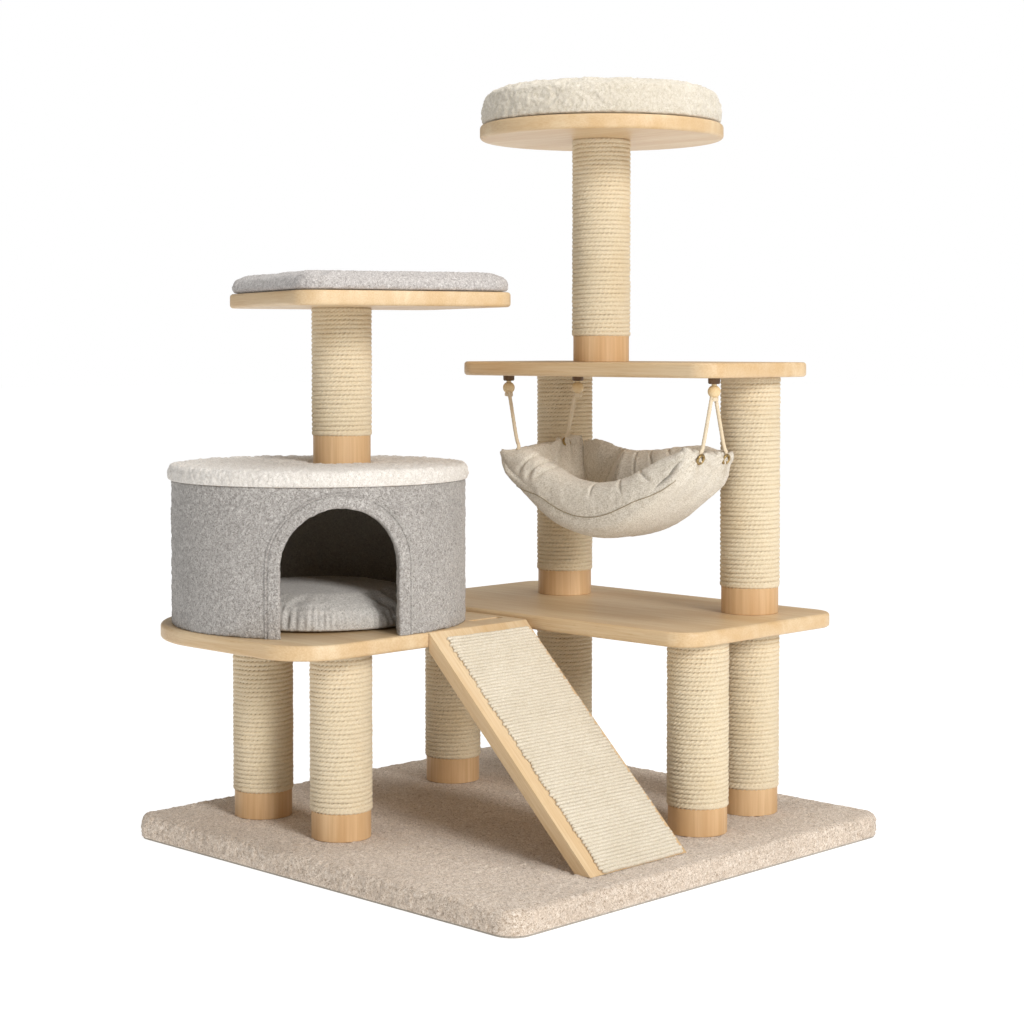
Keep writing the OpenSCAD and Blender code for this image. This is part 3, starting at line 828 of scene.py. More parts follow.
def white_world():
    """A weak white glow all round, which the camera itself sees as full white."""
    world = bpy.data.worlds.new("white_room")
    world.use_nodes = True
    tree = world.node_tree
    glow = tree.nodes["Background"]
    glow.inputs["Color"].default_value = (1, 1, 1, 1)
    glow.inputs["Strength"].default_value = 0.31
    backdrop = tree.nodes.new("ShaderNodeBackground")
    backdrop.inputs["Color"].default_value = (1, 1, 1, 1)
    backdrop.inputs["Strength"].default_value = 1.0
    rays = tree.nodes.new("ShaderNodeLightPath")
    pick = tree.nodes.new("ShaderNodeMixShader")
    tree.links.new(rays.outputs["Is Camera Ray"], pick.inputs[0])
    tree.links.new(glow.outputs[0], pick.inputs[1])
    tree.links.new(backdrop.outputs[0], pick.inputs[2])
    tree.links.new(pick.outputs[0], tree.nodes["World Output"].inputs["Surface"])
    bpy.context.scene.world = world


def pale_floor():
    """A floor just under the base that fades into the white room and takes a faint shadow."""
    m = Nodes("floor_white", roughness=0.9, specular=0.05)
    soft = m.noise(0.8, 1.0)
    m.colour(m.ramp(soft, [(0.0, (0.34, 0.34, 0.338)), (1.0, (0.36, 0.36, 0.358))]))
    m.shader.inputs["Emission Color"].default_value = (1, 1, 1, 1)
    m.shader.inputs["Emission Strength"].default_value = 0.85
    mesh = bpy.data.meshes.new("floor")
    mesh.from_pydata([(-30, -30, 0), (30, -30, 0), (30, 30, 0), (-30, 30, 0)], [], [(0, 1, 2, 3)])
    mesh.materials.append(m.material)
    floor = bpy.data.objects.new("floor", mesh)
    floor.location.z = -0.0002
    bpy.context.collection.objects.link(floor)


def studio():
    """White room: a soft low key and a small side light from the camera's right, a wide light
    above, a weak fill from the left and a pale floor."""
    right = Vector((0.7124, 0.7018, 0))
    toward = Vector((0.7018, -0.7124, 0))
    up = Vector((0, 0, 1))
    aim = (0, 0, 0.5)
    warm = (1, 0.985, 0.965)
    sun = bpy.data.lights.new("key", "SUN")
    sun.energy = 1.75
    sun.angle = math.radians(16)
    sun.color = warm
    key = bpy.data.objects.new("key", sun)
    from_there = right * 1.45 + toward * 2.15 + up * 1.0
    key.rotation_euler = (-from_there).to_track_quat("-Z", "Y").to_euler()
    bpy.context.collection.objects.link(key)
    area_light("side", right * 1.25 + toward * 2.3 + up * 1.0, aim, 1.0, 11, warm)
    area_light("top", up * 3.3 + right * 0.5, (0, 0, 0), 2.2, 50, (1, 1, 1))
    area_light("fill", right * -2.4 + toward * 2.0 + up * 1.2, aim, 2.4, 6, (0.98, 0.99, 1))
    white_world()
    pale_floor()
    view = bpy.context.scene.view_settings
    view.view_transform = "Standard"
    view.look = "None"


# ---------- base ----------

def base():
    """Carpet over the base board, hollow below to leave room for it."""
    low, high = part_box("base_carpet")
    outline = even(box_outline("base_carpet", [0.032] * 4), 0.003)
    profile = edge_profile(low.z, high.z, 0.011, 0.002, 0.0028)
    inner = 0.0085
    profile += [(inner - 0.001, low.z), (inner, low.z + 0.001), (inner, high.z - 0.0105)]
    verts, faces = slab(outline, profile, 140)
    piece = make("base_carpet_pile", verts, faces, MAT["carpet"],
                 nodes=["base_carpet"], slot="base_carpet")

    def loops(p):
        """Looped pile, rubbed into faint rows along the sides."""
        near_edge = smooth((np.maximum(abs(p[:, 0]), abs(p[:, 1])) - (high.x - 0.03)) / 0.03)
        under = smooth((p[:, 2] - low.z) / 0.004)
        rows = np.sin(TAU * p[:, 2] / 0.0075 + 1.5 * noise3(p / 0.05, 40))
        height = fur(p, 0.0066, 0.0030, 3) + near_edge * 0.0005 * rows
        return height * under - 0.0006

    return displace(piece, loops)


# ---------- boards ----------

def shelves():
    """The middle and upper shelves."""
    for node, r in (("mid_shelf", 0.045), ("upper_shelf", 0.040)):
        board(node + "_beech", node, box_outline(node, [r] * 4), MAT["board"])


def den_platform():
    """The den's platform, with a small slot that the ramp's tongue stands in."""
    low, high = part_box("den_platform")
    piece = board("den_platform_beech", "den_platform",
                  box_outline("den_platform", (0.19, 0.08, 0.012, 0.012)), MAT["board"])
    left, right, front, back, r = -0.016, 0.0, -0.073, -0.011, 0.003
    mouth = arc_outline([(left, front, r), (right, front, r), (right, back, r),
                         (left, back, r)], 20)
    verts, faces = prism(mouth, low.z - 0.01, high.z + 0.01)
    cutter = make("slot_cutter", verts, faces, MAT["board"], body=None)
    mod = piece.modifiers.new("slot", "BOOLEAN")
    mod.object = cutter
    mod.solver = "EXACT"
    bake(piece)
    smooth_by_angle(piece, 40)
    bpy.data.objects.remove(cutter)


def perch_outline(side, r):
    """The left perch's rounded square, turned about its middle."""
    c = middle("left_perch_board")
    half = side / 2
    square = arc_outline([(-half, -half, r), (half, -half, r), (half, half, r), (-half, half, r)])
    ca, sa = math.cos(PERCH_TURN), math.sin(PERCH_TURN)
    return square @ np.array([[ca, sa], [-sa, ca]]) + (c.x, c.y)


def perch_boards():
    """The turned square board on the left and the round one on the crown post."""
    board("left_perch_beech", "left_perch_board", perch_outline(PERCH_SIDE, 0.04),
          wood("perch_wood", turn=(0, 0, -PERCH_TURN)))
    reach = size("round_perch_board").x / 2
    board("round_perch_beech", "round_perch_board",
          circle(reach, 128, middle("round_perch_board")), MAT["board"])


# ---------- posts ----------

def post_core(name):
    """Hollow core with a bare veneered collar at its foot, edges eased."""
    low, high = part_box(name + "_core")
    rope_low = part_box(name + "_rope")[0].z
    c = middle(name + "_core")
    reach = size("crown_post_core").x / 2 + 0.0001
    core, bore, ease = 0.037, 0.029, 0.0008
    profile = [(bore, low.z), (reach - ease, low.z), (reach, low.z + ease),
               (reach, rope_low - ease), (reach - ease, rope_low), (core, rope_low),
               (core, high.z), (bore, high.z)]
    verts, faces = lathe(profile, 96, (c.x, c.y, 0))
    make(name + "_collar", verts, faces, MAT["collar"], nodes=[name + "_core"],
         slot="collar_wood", sharp=30)


def winding(name, seed):
    """One rope wound round a post: a level turn at each end and close climbing turns between."""
    low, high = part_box(name + "_rope")
    c = middle(name + "_rope")
    reach = size(name + "_rope").x / 2
    r = STRAND * 0.55
    turns = round((high.z - low.z - STRAND) / STRAND)
    pitch = (high.z - low.z - STRAND) / turns
    per_turn = 164
    t = np.linspace(-1, turns + 1, int((turns + 2) * per_turn) + 1)
    a = TAU * t + seed * 2.4
    z = low.z + STRAND / 2 + pitch * np.clip(t, 0, turns)
    inside = smooth(t * 1.5) * smooth((turns - t) * 1.5)
    wander = np.column_stack([np.cos(a), np.sin(a), t * 0.9])
    z = z + inside * 0.0005 * noise3(wander * 1.6, seed)
    radius = reach - r + 0.00045 * noise3(wander * 2.3, seed + 50) - 0.0003
    path = np.column_stack([c.x + radius * np.cos(a), c.y + radius * np.sin(a), z])
    thick = r * (1 + 0.05 * noise3(wander * 5.1, seed + 90))
    verts, faces = tube(path, thick, around=12, twist=50, depth=0.30)
    make(name + "_winding", verts, faces, MAT["rope"], nodes=[name + "_rope"],
         slot="sisal_rope")


def posts():
    """Ten posts: each a core with its collar, and the rope wound on it."""
    ropes = [node for node in frame["nodes"] if node.endswith("_post_rope")]
    for k, node in enumerate(sorted(ropes)):
        name = node.removesuffix("_rope")
        post_core(name)
        winding(name, k)


# ---------- den ----------

def round_the_den(lateral, z, radius):
    """Point on an upright cylinder about the den's axis, from the door's own side offset."""
    c = middle("den_wall_plush")
    forward = np.sqrt(np.maximum(radius ** 2 - lateral ** 2, 0))
    x = c.x + forward * math.cos(DOOR) - lateral * math.sin(DOOR)
    y = c.y + forward * math.sin(DOOR) + lateral * math.cos(DOOR)
    return np.stack(np.broadcast_arrays(x, y, z), -1)


def door_wall(outer, inner, low, high, columns, step, half):
    """Points and faces of a round wall with an arched doorway of half a width."""
    spring, top = low + DOOR_SIDE, low + DOOR_SIDE + half
    arch = np.linspace(0, math.pi / 2, max(8, int(half * 1.57 / step)) + 1)
    heights = np.concatenate([
        np.linspace(low, spring, max(3, int(DOOR_SIDE / step)) + 1)[:-1],
        spring + half * np.sin(arch),
        np.linspace(top, high, max(3, int((high - top) / step)) + 1)[1:]])
    rise = np.clip((heights - spring) / half, 0, 1)
    width = np.where(heights >= top - 1e-6, 0.0, half * np.sqrt(1 - rise ** 2))
    c = middle("den_wall_plush")
    shells = []
    for radius in (outer, inner):
        edge = np.arcsin(width / radius)[:, None]
        share = np.linspace(0, 1, columns)[None]
        a = DOOR + edge + (TAU - 2 * edge) * share
        z = np.broadcast_to(heights[:, None], a.shape)
        shells.append(np.stack([c.x + radius * np.cos(a), c.y + radius * np.sin(a), z], -1))
    rows = len(heights)
    count = rows * columns
    index = np.arange(count).reshape(rows, columns)
    faces = grid(rows, columns)
    faces[0] = faces[0][:, ::-1]
    faces.append(faces[0][:, ::-1] + count)
    arch_rows = int(np.sum(width > 0)) + 1
    for line, way in ((index[0], 1), (index[-1], -1),
                      (index[:arch_rows, 0], -1), (index[:arch_rows, -1], 1)):
        quad = np.stack([line[:-1], line[:-1] + count, line[1:] + count, line[1:]], -1)
        faces.append(quad[:, ::way])
    return np.concatenate([s.reshape(-1, 3) for s in shells]), faces


def weld(obj, distance=1e-5):
    """Joins points that lie together, and turns all faces outwards."""
    work = bmesh.new()
    work.from_mesh(obj.data)
    bmesh.ops.remove_doubles(work, verts=work.verts, dist=distance)
    bmesh.ops.recalc_face_normals(work, faces=work.faces)
    work.to_mesh(obj.data)
    work.free()
    obj.data.update()
    return obj


def den_walls():
    """The plush round the den and the dark felt inside it."""
    low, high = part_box("den_wall_plush")
    outer = size("den_wall_plush").x / 2
    wall = size("den_wall").x / 2
    columns = 470
    verts, faces = door_wall(outer - 0.0012, wall + 0.0002, low.z + 0.001, high.z, columns,
                             0.0028, DOOR_HALF)
    plush = weld(make("den_wall_plush_cover", verts, faces, MAT["plush"],
                      nodes=["den_wall_plush"], slot="den_plush"))
    c = middle("den_wall_plush")

    def nap(p):
        """Short nap, brushed in soft patches, with the fabric's upright joining seam."""
        out = smooth((off_axis(p, c) - wall - 0.002) / 0.002)
        a = np.arctan2(p[:, 1] - c.y, p[:, 0] - c.x)
        seam = abs((a - DOOR + math.pi * 1.5) % TAU - math.pi) * outer
        groove = -0.0022 * np.exp(-(seam / 0.0025) ** 2)
        brushed = 0.0007 * fractal(p, 0.045, 3, 60)
        return (fur(p, 0.0056, 0.0022, 7) + brushed + groove) * out

    displace(plush, nap)
    lining_low, lining_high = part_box("den_lining")
    inner_wall = size("den_lining").x / 2
    verts, faces = door_wall(inner_wall - 0.0002, inner_wall - 0.003, lining_low.z + 0.0005,
                             lining_high.z - 0.0005, 300, 0.005, DOOR_HALF)
    lining = weld(make("den_lining_felt", verts, faces, MAT["lining"], nodes=["den_lining"],
                       slot="dark_lining"))
    displace(lining, lambda p: 0.0003 * fractal(p, 0.02, 3, 70))


def door_trim():
    """Soft band folded round the doorway's edge and stitched along its outer side."""
    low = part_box("den_door_trim")[0].z + 0.0003
    wall = size("den_wall_plush").x / 2
    inner = size("den_lining").x / 2 - 0.003
    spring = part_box("den_wall_plush")[0].z + DOOR_SIDE
    side = np.linspace(low, spring, 60)[:-1]
    arch = np.linspace(0, math.pi, 150)
    lateral = np.concatenate([np.full(len(side), DOOR_HALF), DOOR_HALF * np.cos(arch),
                              np.full(len(side), -DOOR_HALF)])
    height = np.concatenate([side, spring + DOOR_HALF * np.sin(arch), side[::-1]])
    away_x = np.concatenate([np.ones(len(side)), np.cos(arch), -np.ones(len(side))])
    away_z = np.concatenate([np.zeros(len(side)), np.sin(arch), np.zeros(len(side))])
    band = 0.0195
    proud = 0.0016
    section = []
    for k in range(11):
        t = k / 10
        section.append((-0.0020 + 0.0004 * math.sin(math.pi * t),
                        inner - 0.0005 + t * (wall - 0.0035 - inner)))
    for k in range(8):
        a = math.pi / 2 * k / 7
        section.append((0.0030 - 0.0050 * math.cos(a), wall + proud - 0.0050 * (1 - math.sin(a))))
    for k in range(1, 23):
        d = 0.003 + (band - 0.003) * k / 22
        dip = 0.0026 * math.exp(-((d - band + 0.0036) / 0.0011) ** 2)
        end = 0.0016 * max(0, (d - band + 0.0022) / 0.0022) ** 2
        section.append((d, wall + proud - dip - end))
    section += [(band + 0.0002, wall - 0.001), (0.001, wall - 0.0065), (0.0005, inner - 0.0005)]
    d = np.array([s[0] for s in section])[None]
    radius = np.array([s[1] for s in section])[None]
    across = lateral[:, None] + away_x[:, None] * d
    up = height[:, None] + away_z[:, None] * d
    verts = round_the_den(across, up, radius)
    n, m = len(lateral), len(section)
    faces = grid(n, m, wrap_v=True)
    faces += [np.arange(m)[::-1], (n - 1) * m + np.arange(m)]
    trim = weld(make("den_door_band", verts, faces, MAT["plush"], nodes=["den_door_trim"],
                     slot="den_plush"))
    displace(trim, lambda p: fur(p, 0.0056, 0.0015, 8) + 0.0004 * fractal(p, 0.016, 3, 80))


def den_lid():
    """Plush wrapped over the lid's top and down its rim."""
    low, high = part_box("den_lid_plush")
    c = middle("den_lid_plush")
    reach = size("den_lid_plush").x / 2
    board_reach = size("den_lid_board").x / 2
    board_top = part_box("den_lid_board")[1].z
    outline = circle(reach - 0.0012, 720, c)
    profile = edge_profile(low.z + 0.0006, high.z - 0.0006, 0.0085, 0.0015, 0.0022, 0.0006)
    inner = reach - 0.0012 - board_reach
    profile += [(inner - 0.0006, low.z + 0.0006), (inner, low.z + 0.0012), (inner, board_top)]
    verts, faces = slab(outline, profile, 132)
    lid = make("den_lid_plush_cover", verts, faces, MAT["lid"], nodes=["den_lid_plush"],
               slot="lid_plush")
    post = middle("perch_post_core")

    def nap(p):
        """Deep pile, pressed down round the perch's post and left off where it meets the board."""
        under = smooth((p[:, 2] - low.z - 0.0005) / 0.003)
        inside = off_axis(p, c) < board_reach + 0.001
        keep = np.where(inside & (p[:, 2] < board_top + 0.001), 0, 1)
        pressed = -0.004 * np.exp(-((off_axis(p, post) - 0.046) / 0.007) ** 2)
        soft = 0.0009 * fractal(p, 0.05, 3, 90)
        return (fur(p, 0.0068, 0.0029, 9) + soft + pressed) * under * keep

    displace(lid, nap)


# ---------- cushions ----------

def stuffed(name, node, shape, air, relief, margin, fill, **where):
    """A cushion or pad: a slab blown up by cloth simulation, then given its relief. air holds
    the pressure, the most that a point moves, the voxel's size and the seam's height."""
    low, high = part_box(node)
    verts, faces = slab(*shape)
    piece = make(name, verts, faces, nodes=[node], **where)
    pressure, cap, voxel, seam = air
    puff(piece, pressure, cap, voxel, lambda p: p[:, 2] < low.z + seam)
    refine(piece)
    displace(piece, relief)
    low, high = np.array(low), np.array(high)
    bottom = low[2]
    low, high = low - margin, high + margin
    low[2] = bottom
    set_coords(piece, np.clip(coords(piece), low, high))


def den_cushion():
    """Round floor cushion, gathered into its lower seam."""
    low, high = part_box("den_cushion")
    c = middle("den_cushion")
    reach = size("den_cushion").x / 2
    outline = circle(reach - 0.008, 260, c)
    profile = edge_profile(low.z + 0.002, high.z - 0.023, 0.026, 0.010, 0.004)

    def folds(p):
        """Pleats that rise unevenly from the seam, over a nap and soft dents."""
        a = np.arctan2(p[:, 1] - c.y, p[:, 0] - c.x)
        ring = np.stack([np.cos(a), np.sin(a), np.zeros(len(a))], -1)
        up = (p[:, 2] - low.z) / (high.z - low.z)
        rim = smooth((off_axis(p, c) - reach + 0.05) / 0.03)
        reach_up = 0.50 + 0.22 * noise3(ring * 14, 16)
        fade = smooth((reach_up - up) / 0.30 + 0.5) * rim
        pleats = np.sin(96 * a + 3.0 * noise3(ring * 6, 14)) + 0.6 * noise3(ring * 40, 17)
        above = smooth((p[:, 2] - low.z) / 0.012)
        return (0.0014 * pleats * fade + 0.0016 * fractal(p, 0.06, 3, 15)
                + fur(p, 0.005, 0.0009, 18)) * above

    stuffed("den_cushion_soft", "den_cushion", (outline, profile, 40, dome(c, reach, 0.007)),
            (4.0, 0.010, 0.005, 0.004), folds, 0.0, 0.8, material=MAT["cushion"],
            slot="den_cushion_cloth")


def left_pad():
    """Thin plush pad on the turned square perch."""
    low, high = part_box("left_perch_pad")
    outline = even(perch_outline(PERCH_SIDE - 0.004, 0.038), 0.004)
    profile = edge_profile(low.z + 0.0005, high.z - 0.004, 0.011, 0.006, 0.004)

    def nap(p):
        """Short pile over soft dents."""
        above = smooth((p[:, 2] - low.z) / 0.004)
        return (fur(p, 0.0060, 0.0019, 21) + 0.0016 * fractal(p, 0.06, 3, 22)) * above

    stuffed("left_perch_pad_plush", "left_perch_pad", (outline, profile, 42),
            (3.0, 0.004, 0.0042, 0.003), nap, 0.002, 0.7, material=MAT["pad"],
            body="left_pad", slot="pad_plush")


def round_cushion():
    """Thick sherpa cushion on the round perch, with a rolled edge."""
    low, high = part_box("round_perch_cushion")
    c = middle("round_perch_cushion")
    reach = size("round_perch_cushion").x / 2
    outline = circle(reach - 0.0012, 260, c)
    profile = edge_profile(low.z + 0.001, high.z - 0.007, 0.011, 0.005, 0.004, 0.001)

    def curls(p):
        """Curly pile over soft dents."""
        above = smooth((p[:, 2] - low.z) / 0.003)
        return (fur(p, 0.0066, 0.0027, 31) + 0.0013 * fractal(p, 0.07, 3, 32)) * above

    stuffed("round_cushion_sherpa", "round_perch_cushion",
            (outline, profile, 42, dome(c, reach, 0.004)), (4.0, 0.005, 0.0042, 0.003), curls,
            0.004, 0.85, material=MAT["sherpa"], body="round_cushion", slot="sherpa")


# ---------- ramp ----------

def eased_copy(name, node, r, material, body):
    """The CAD shape with its edges rounded, as its own piece."""
    mesh = frame["nodes"][node].data.copy()
    obj = bpy.data.objects.new(name, mesh)
    bpy.context.collection.objects.link(obj)
    mesh.materials.clear()
    mesh.materials.append(material)
    weld(obj)
    work = bmesh.new()
    work.from_mesh(mesh)
    bmesh.ops.dissolve_limit(work, angle_limit=0.02, verts=work.verts, edges=work.edges)
    work.to_mesh(mesh)
    work.free()
    mod = obj.modifiers.new("round", "BEVEL")
    mod.width = r
    mod.segments = 4
    mod.limit_method = "ANGLE"
    mod.angle_limit = math.radians(30)
    bake(obj)
    smooth_by_angle(obj, 50)
    return settle(obj, body, [node])


def ramp():
    """The ramp's board, and the cleat that hooks it to the platform."""
    eased_copy("ramp_beech", "ramp_board", 0.004, MAT["ramp_wood"], "ramp")
    eased_copy("ramp_cleat_beech", "ramp_cleat", 0.002, MAT["board"],
               body_of(frame["nodes"]["ramp_cleat"])[0])


def ramp_mat():
    """Mat of thick yarns woven side by side across the ramp, with uneven ends."""
    low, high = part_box("ramp_mat")
    thick = 0.004
    down = np.array((math.cos(SLOPE), 0, -math.sin(SLOPE)))
    off = np.array((math.sin(SLOPE), 0, math.cos(SLOPE)))
    start = np.array((low.x, 0, high.z - thick * math.cos(SLOPE)))
    length = (high.x - low.x - thick * math.sin(SLOPE)) / math.cos(SLOPE)
    pitch = 0.0054
    count = int(length / pitch)
    pitch = length / count
    parts = []
    steps = 96
    for k in range(count):
        rng = np.random.default_rng(500 + k)
        a = low.y + rng.uniform(-0.001, 0.0035)
        b = high.y - rng.uniform(-0.001, 0.0035)
        y = np.linspace(a, b, steps)
        spot = np.column_stack([y / 0.03, np.full(steps, k * 0.37), np.zeros(steps)])
        along = (k + 0.5) * pitch + 0.0006 * noise3(spot, 500)
        weave = 0.0005 * np.cos(TAU * y / 0.0105 + math.pi * k)
        lift = thick * 0.42 + weave + 0.0003 * noise3(spot * 2, 501)
        path = start + along[:, None] * down + lift[:, None] * off
        path[:, 1] = y
        fat = 0.0030 * (1 + 0.07 * noise3(spot * 4, 502))
        tip = np.minimum(1, 0.35 + 0.65 * np.minimum(y - a, b - y) / 0.003)
        parts.append(tube(path, fat * tip, 9, twist=95 * (-1) ** k, lobes=2, depth=0.10))
    verts, faces = join(parts)
    make("ramp_mat_yarns", verts, faces, MAT["mat"], body="ramp", nodes=["ramp_mat"],
         slot="sisal_mat")


# ---------- hidden boards and hardware ----------

def hardware():
    """CAD pieces that stay as they are, each in its own finish."""
    finishes = {
        "base_board": "chip", "post_end_plugs": "chip", "joining_batten": "chip",
        "den_wall": "chip", "den_lid_board": "chip", "base_lining": "lining",
        "post_studs": "steel", "base_bolts": "steel", "batten_screws": "steel",
        "den_wall_screws": "steel", "den_lid_screws": "steel", "perch_stud_nut": "steel",
        "ramp_cleat_screws": "steel",
    }
    for node, key in finishes.items():
        mesh = frame["nodes"][node].data
        mesh.materials.clear()
        mesh.materials.append(MAT[key])


# ---------- hammock ----------

def sling_axis():
    """Centre of the sling's curve and its outer radius."""
    low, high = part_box("hammock_sling")
    r = (high.x - low.x) / 2 / math.sin(SLING_ARC)
    return Vector(((low.x + high.x) / 2, (low.y + high.y) / 2, low.z + r)), r


def on_sling(along, y, inward):
    """Point a distance along the sling from its lowest line, moved inward from its outside.
    Past the round part the ends turn upwards, where the cords pull them."""
    c, r = sling_axis()
    side = np.sign(along)
    past = np.maximum(abs(along) - r * ROUND_ARC, 0)
    angle = side * np.minimum(abs(along) / r, ROUND_ARC)
    turn = np.minimum(past / LIFT, 1.4)
    up_x = math.cos(ROUND_ARC) * (past - past * turn / 2)
    up_z = past * (math.sin(ROUND_ARC) + 0.06 * turn)
    face = angle + side * turn * 0.42
    x = c.x + r * np.sin(angle) + side * up_x - inward * np.sin(face)
    z = c.z - r * np.cos(angle) + up_z + inward * np.cos(face)
    return np.stack(np.broadcast_arrays(x, y, z), -1)


def pull(p):
    """Where a point of the hammock goes: corners drawn by the cords, belly sagging a little."""
    c, r = sling_axis()
    reach = r * ROUND_ARC + LIFT
    p = np.array(p, float)
    moved = p.copy()
    for side, back, shift, spread_m in ((-1, -1, (0.002, 0.003, -0.015), 0.055),
                                        (-1, 1, (0.028, 0.019, 0.009), 0.085),
                                        (1, -1, (-0.008, 0.020, -0.001), 0.085),
                                        (1, 1, (-0.004, -0.016, -0.004), 0.050)):
        corner = on_sling(np.float64(side * reach), c.y + back * 0.072, 0.0)
        near = np.exp(-(np.linalg.norm(p - corner, axis=-1) / spread_m) ** 2)
        moved += near[..., None] * np.array(shift)
    moved[..., 2] -= 0.005 * np.exp(-((p[..., 0] - c.x) / 0.11) ** 2)
    return moved


def sling_edge(along):
    """How far the sling's long edges stand above its bottom."""
    r = sling_axis()[1]
    return 0.006 + 0.027 * (1 - smooth((abs(along) / r - 0.55) / 0.5))


def sling():
    """Quilted cloth body: the outer belly, the padded seat and the drawn-up ends."""
    c, r = sling_axis()
    reach = r * ROUND_ARC + LIFT
    half = size("hammock_sling").y / 2 - 0.0010
    rows, across = ((250, 96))
    u = np.linspace(-1, 1, across)[None]
    t = np.linspace(-1, 1, rows)[:, None]
    ends = reach - 0.010 * (1 - u ** 2) - 0.005 * (u > 0) * u ** 4
    along = t * ends
    y = c.y + half * u * (1 - 0.05 * smooth((abs(t) - 0.8) / 0.2))
    curl = 1 - (1 - abs(u) ** 3.0) ** (1 / 3.0)
    outer = sling_edge(along) * curl
    closing = np.sqrt(np.maximum(1 - (np.maximum(abs(t) - 0.965, 0) / 0.035) ** 2, 0))
    thick = (0.0085 + 0.006 * (1 - u ** 2)) * (0.30 + 0.70 * closing)
    outer = outer + 0.30 * (1 - closing) * thick
    shells = [on_sling(along, y, outer), on_sling(along, y, outer + thick)]
    count = rows * across
    index = np.arange(count).reshape(rows, across)
    faces = grid(rows, across)
    faces.append(faces[0][:, ::-1] + count)
    edge = np.concatenate([index[:-1, 0], index[-1, :-1], index[:0:-1, -1], index[0, :0:-1]])
    far = np.roll(edge, -1)
    faces.append(np.stack([edge, edge + count, far + count, far], -1))
    body = make("hammock_sling_cloth", np.concatenate([s.reshape(-1, 3) for s in shells]), faces,
                MAT["linen"], body="hammock", nodes=["hammock_sling"], slot="hammock_linen")
    weld(body, 1e-6)
    corners = [on_sling(np.float64(s * (reach - 0.012)), c.y + v * 0.040, 0.0)
               for s in (-1, 1) for v in (-1, 1)]

    def drawn(p):
        """Folds that fan out from the eyelets, channels sewn along the seat, soft creases."""
        calm = smooth((p[:, 0] - c.x) / 0.05 + 2.2)
        total = 0.0022 * fractal(p * (0.35, 1, 0.35), 0.030, 3, 120) * calm
        total = total + 0.0007 * fractal(p, 0.010, 2, 123)
        for k, corner in enumerate(corners):
            d = p - corner
            way = np.sign(corner[0] - c.x)
            down = np.hypot(d[:, 0], d[:, 2])
            angle = np.arctan2(d[:, 1], down + 0.004)
            near = np.linalg.norm(d, axis=1)
            fan = np.sin(8.5 * angle + 1.3 * k + 2.5 * noise3(p / 0.06, 130 + k))
            fade = smooth(near / 0.012) * np.exp(-near / 0.055) * (d[:, 0] * way < 0.02)
            total = total + (0.0008, 0.0042, 0.0036, 0.0042)[k] * fan * fade
        radial = np.hypot(p[:, 0] - c.x, p[:, 2] - c.z)
        top = smooth((r - 0.006 - radial) / 0.002)
        for v in (-0.016, 0.014):
            line = np.exp(-((p[:, 1] - c.y - v) / 0.0022) ** 2)
            total = total - 0.0040 * line * top
        return total

    displace(body, drawn)
    set_coords(body, pull(coords(body)))


def squared(v):
    """Turns a sine or cosine into one that draws a squarer round."""
    return np.sign(v) * abs(v) ** 0.8


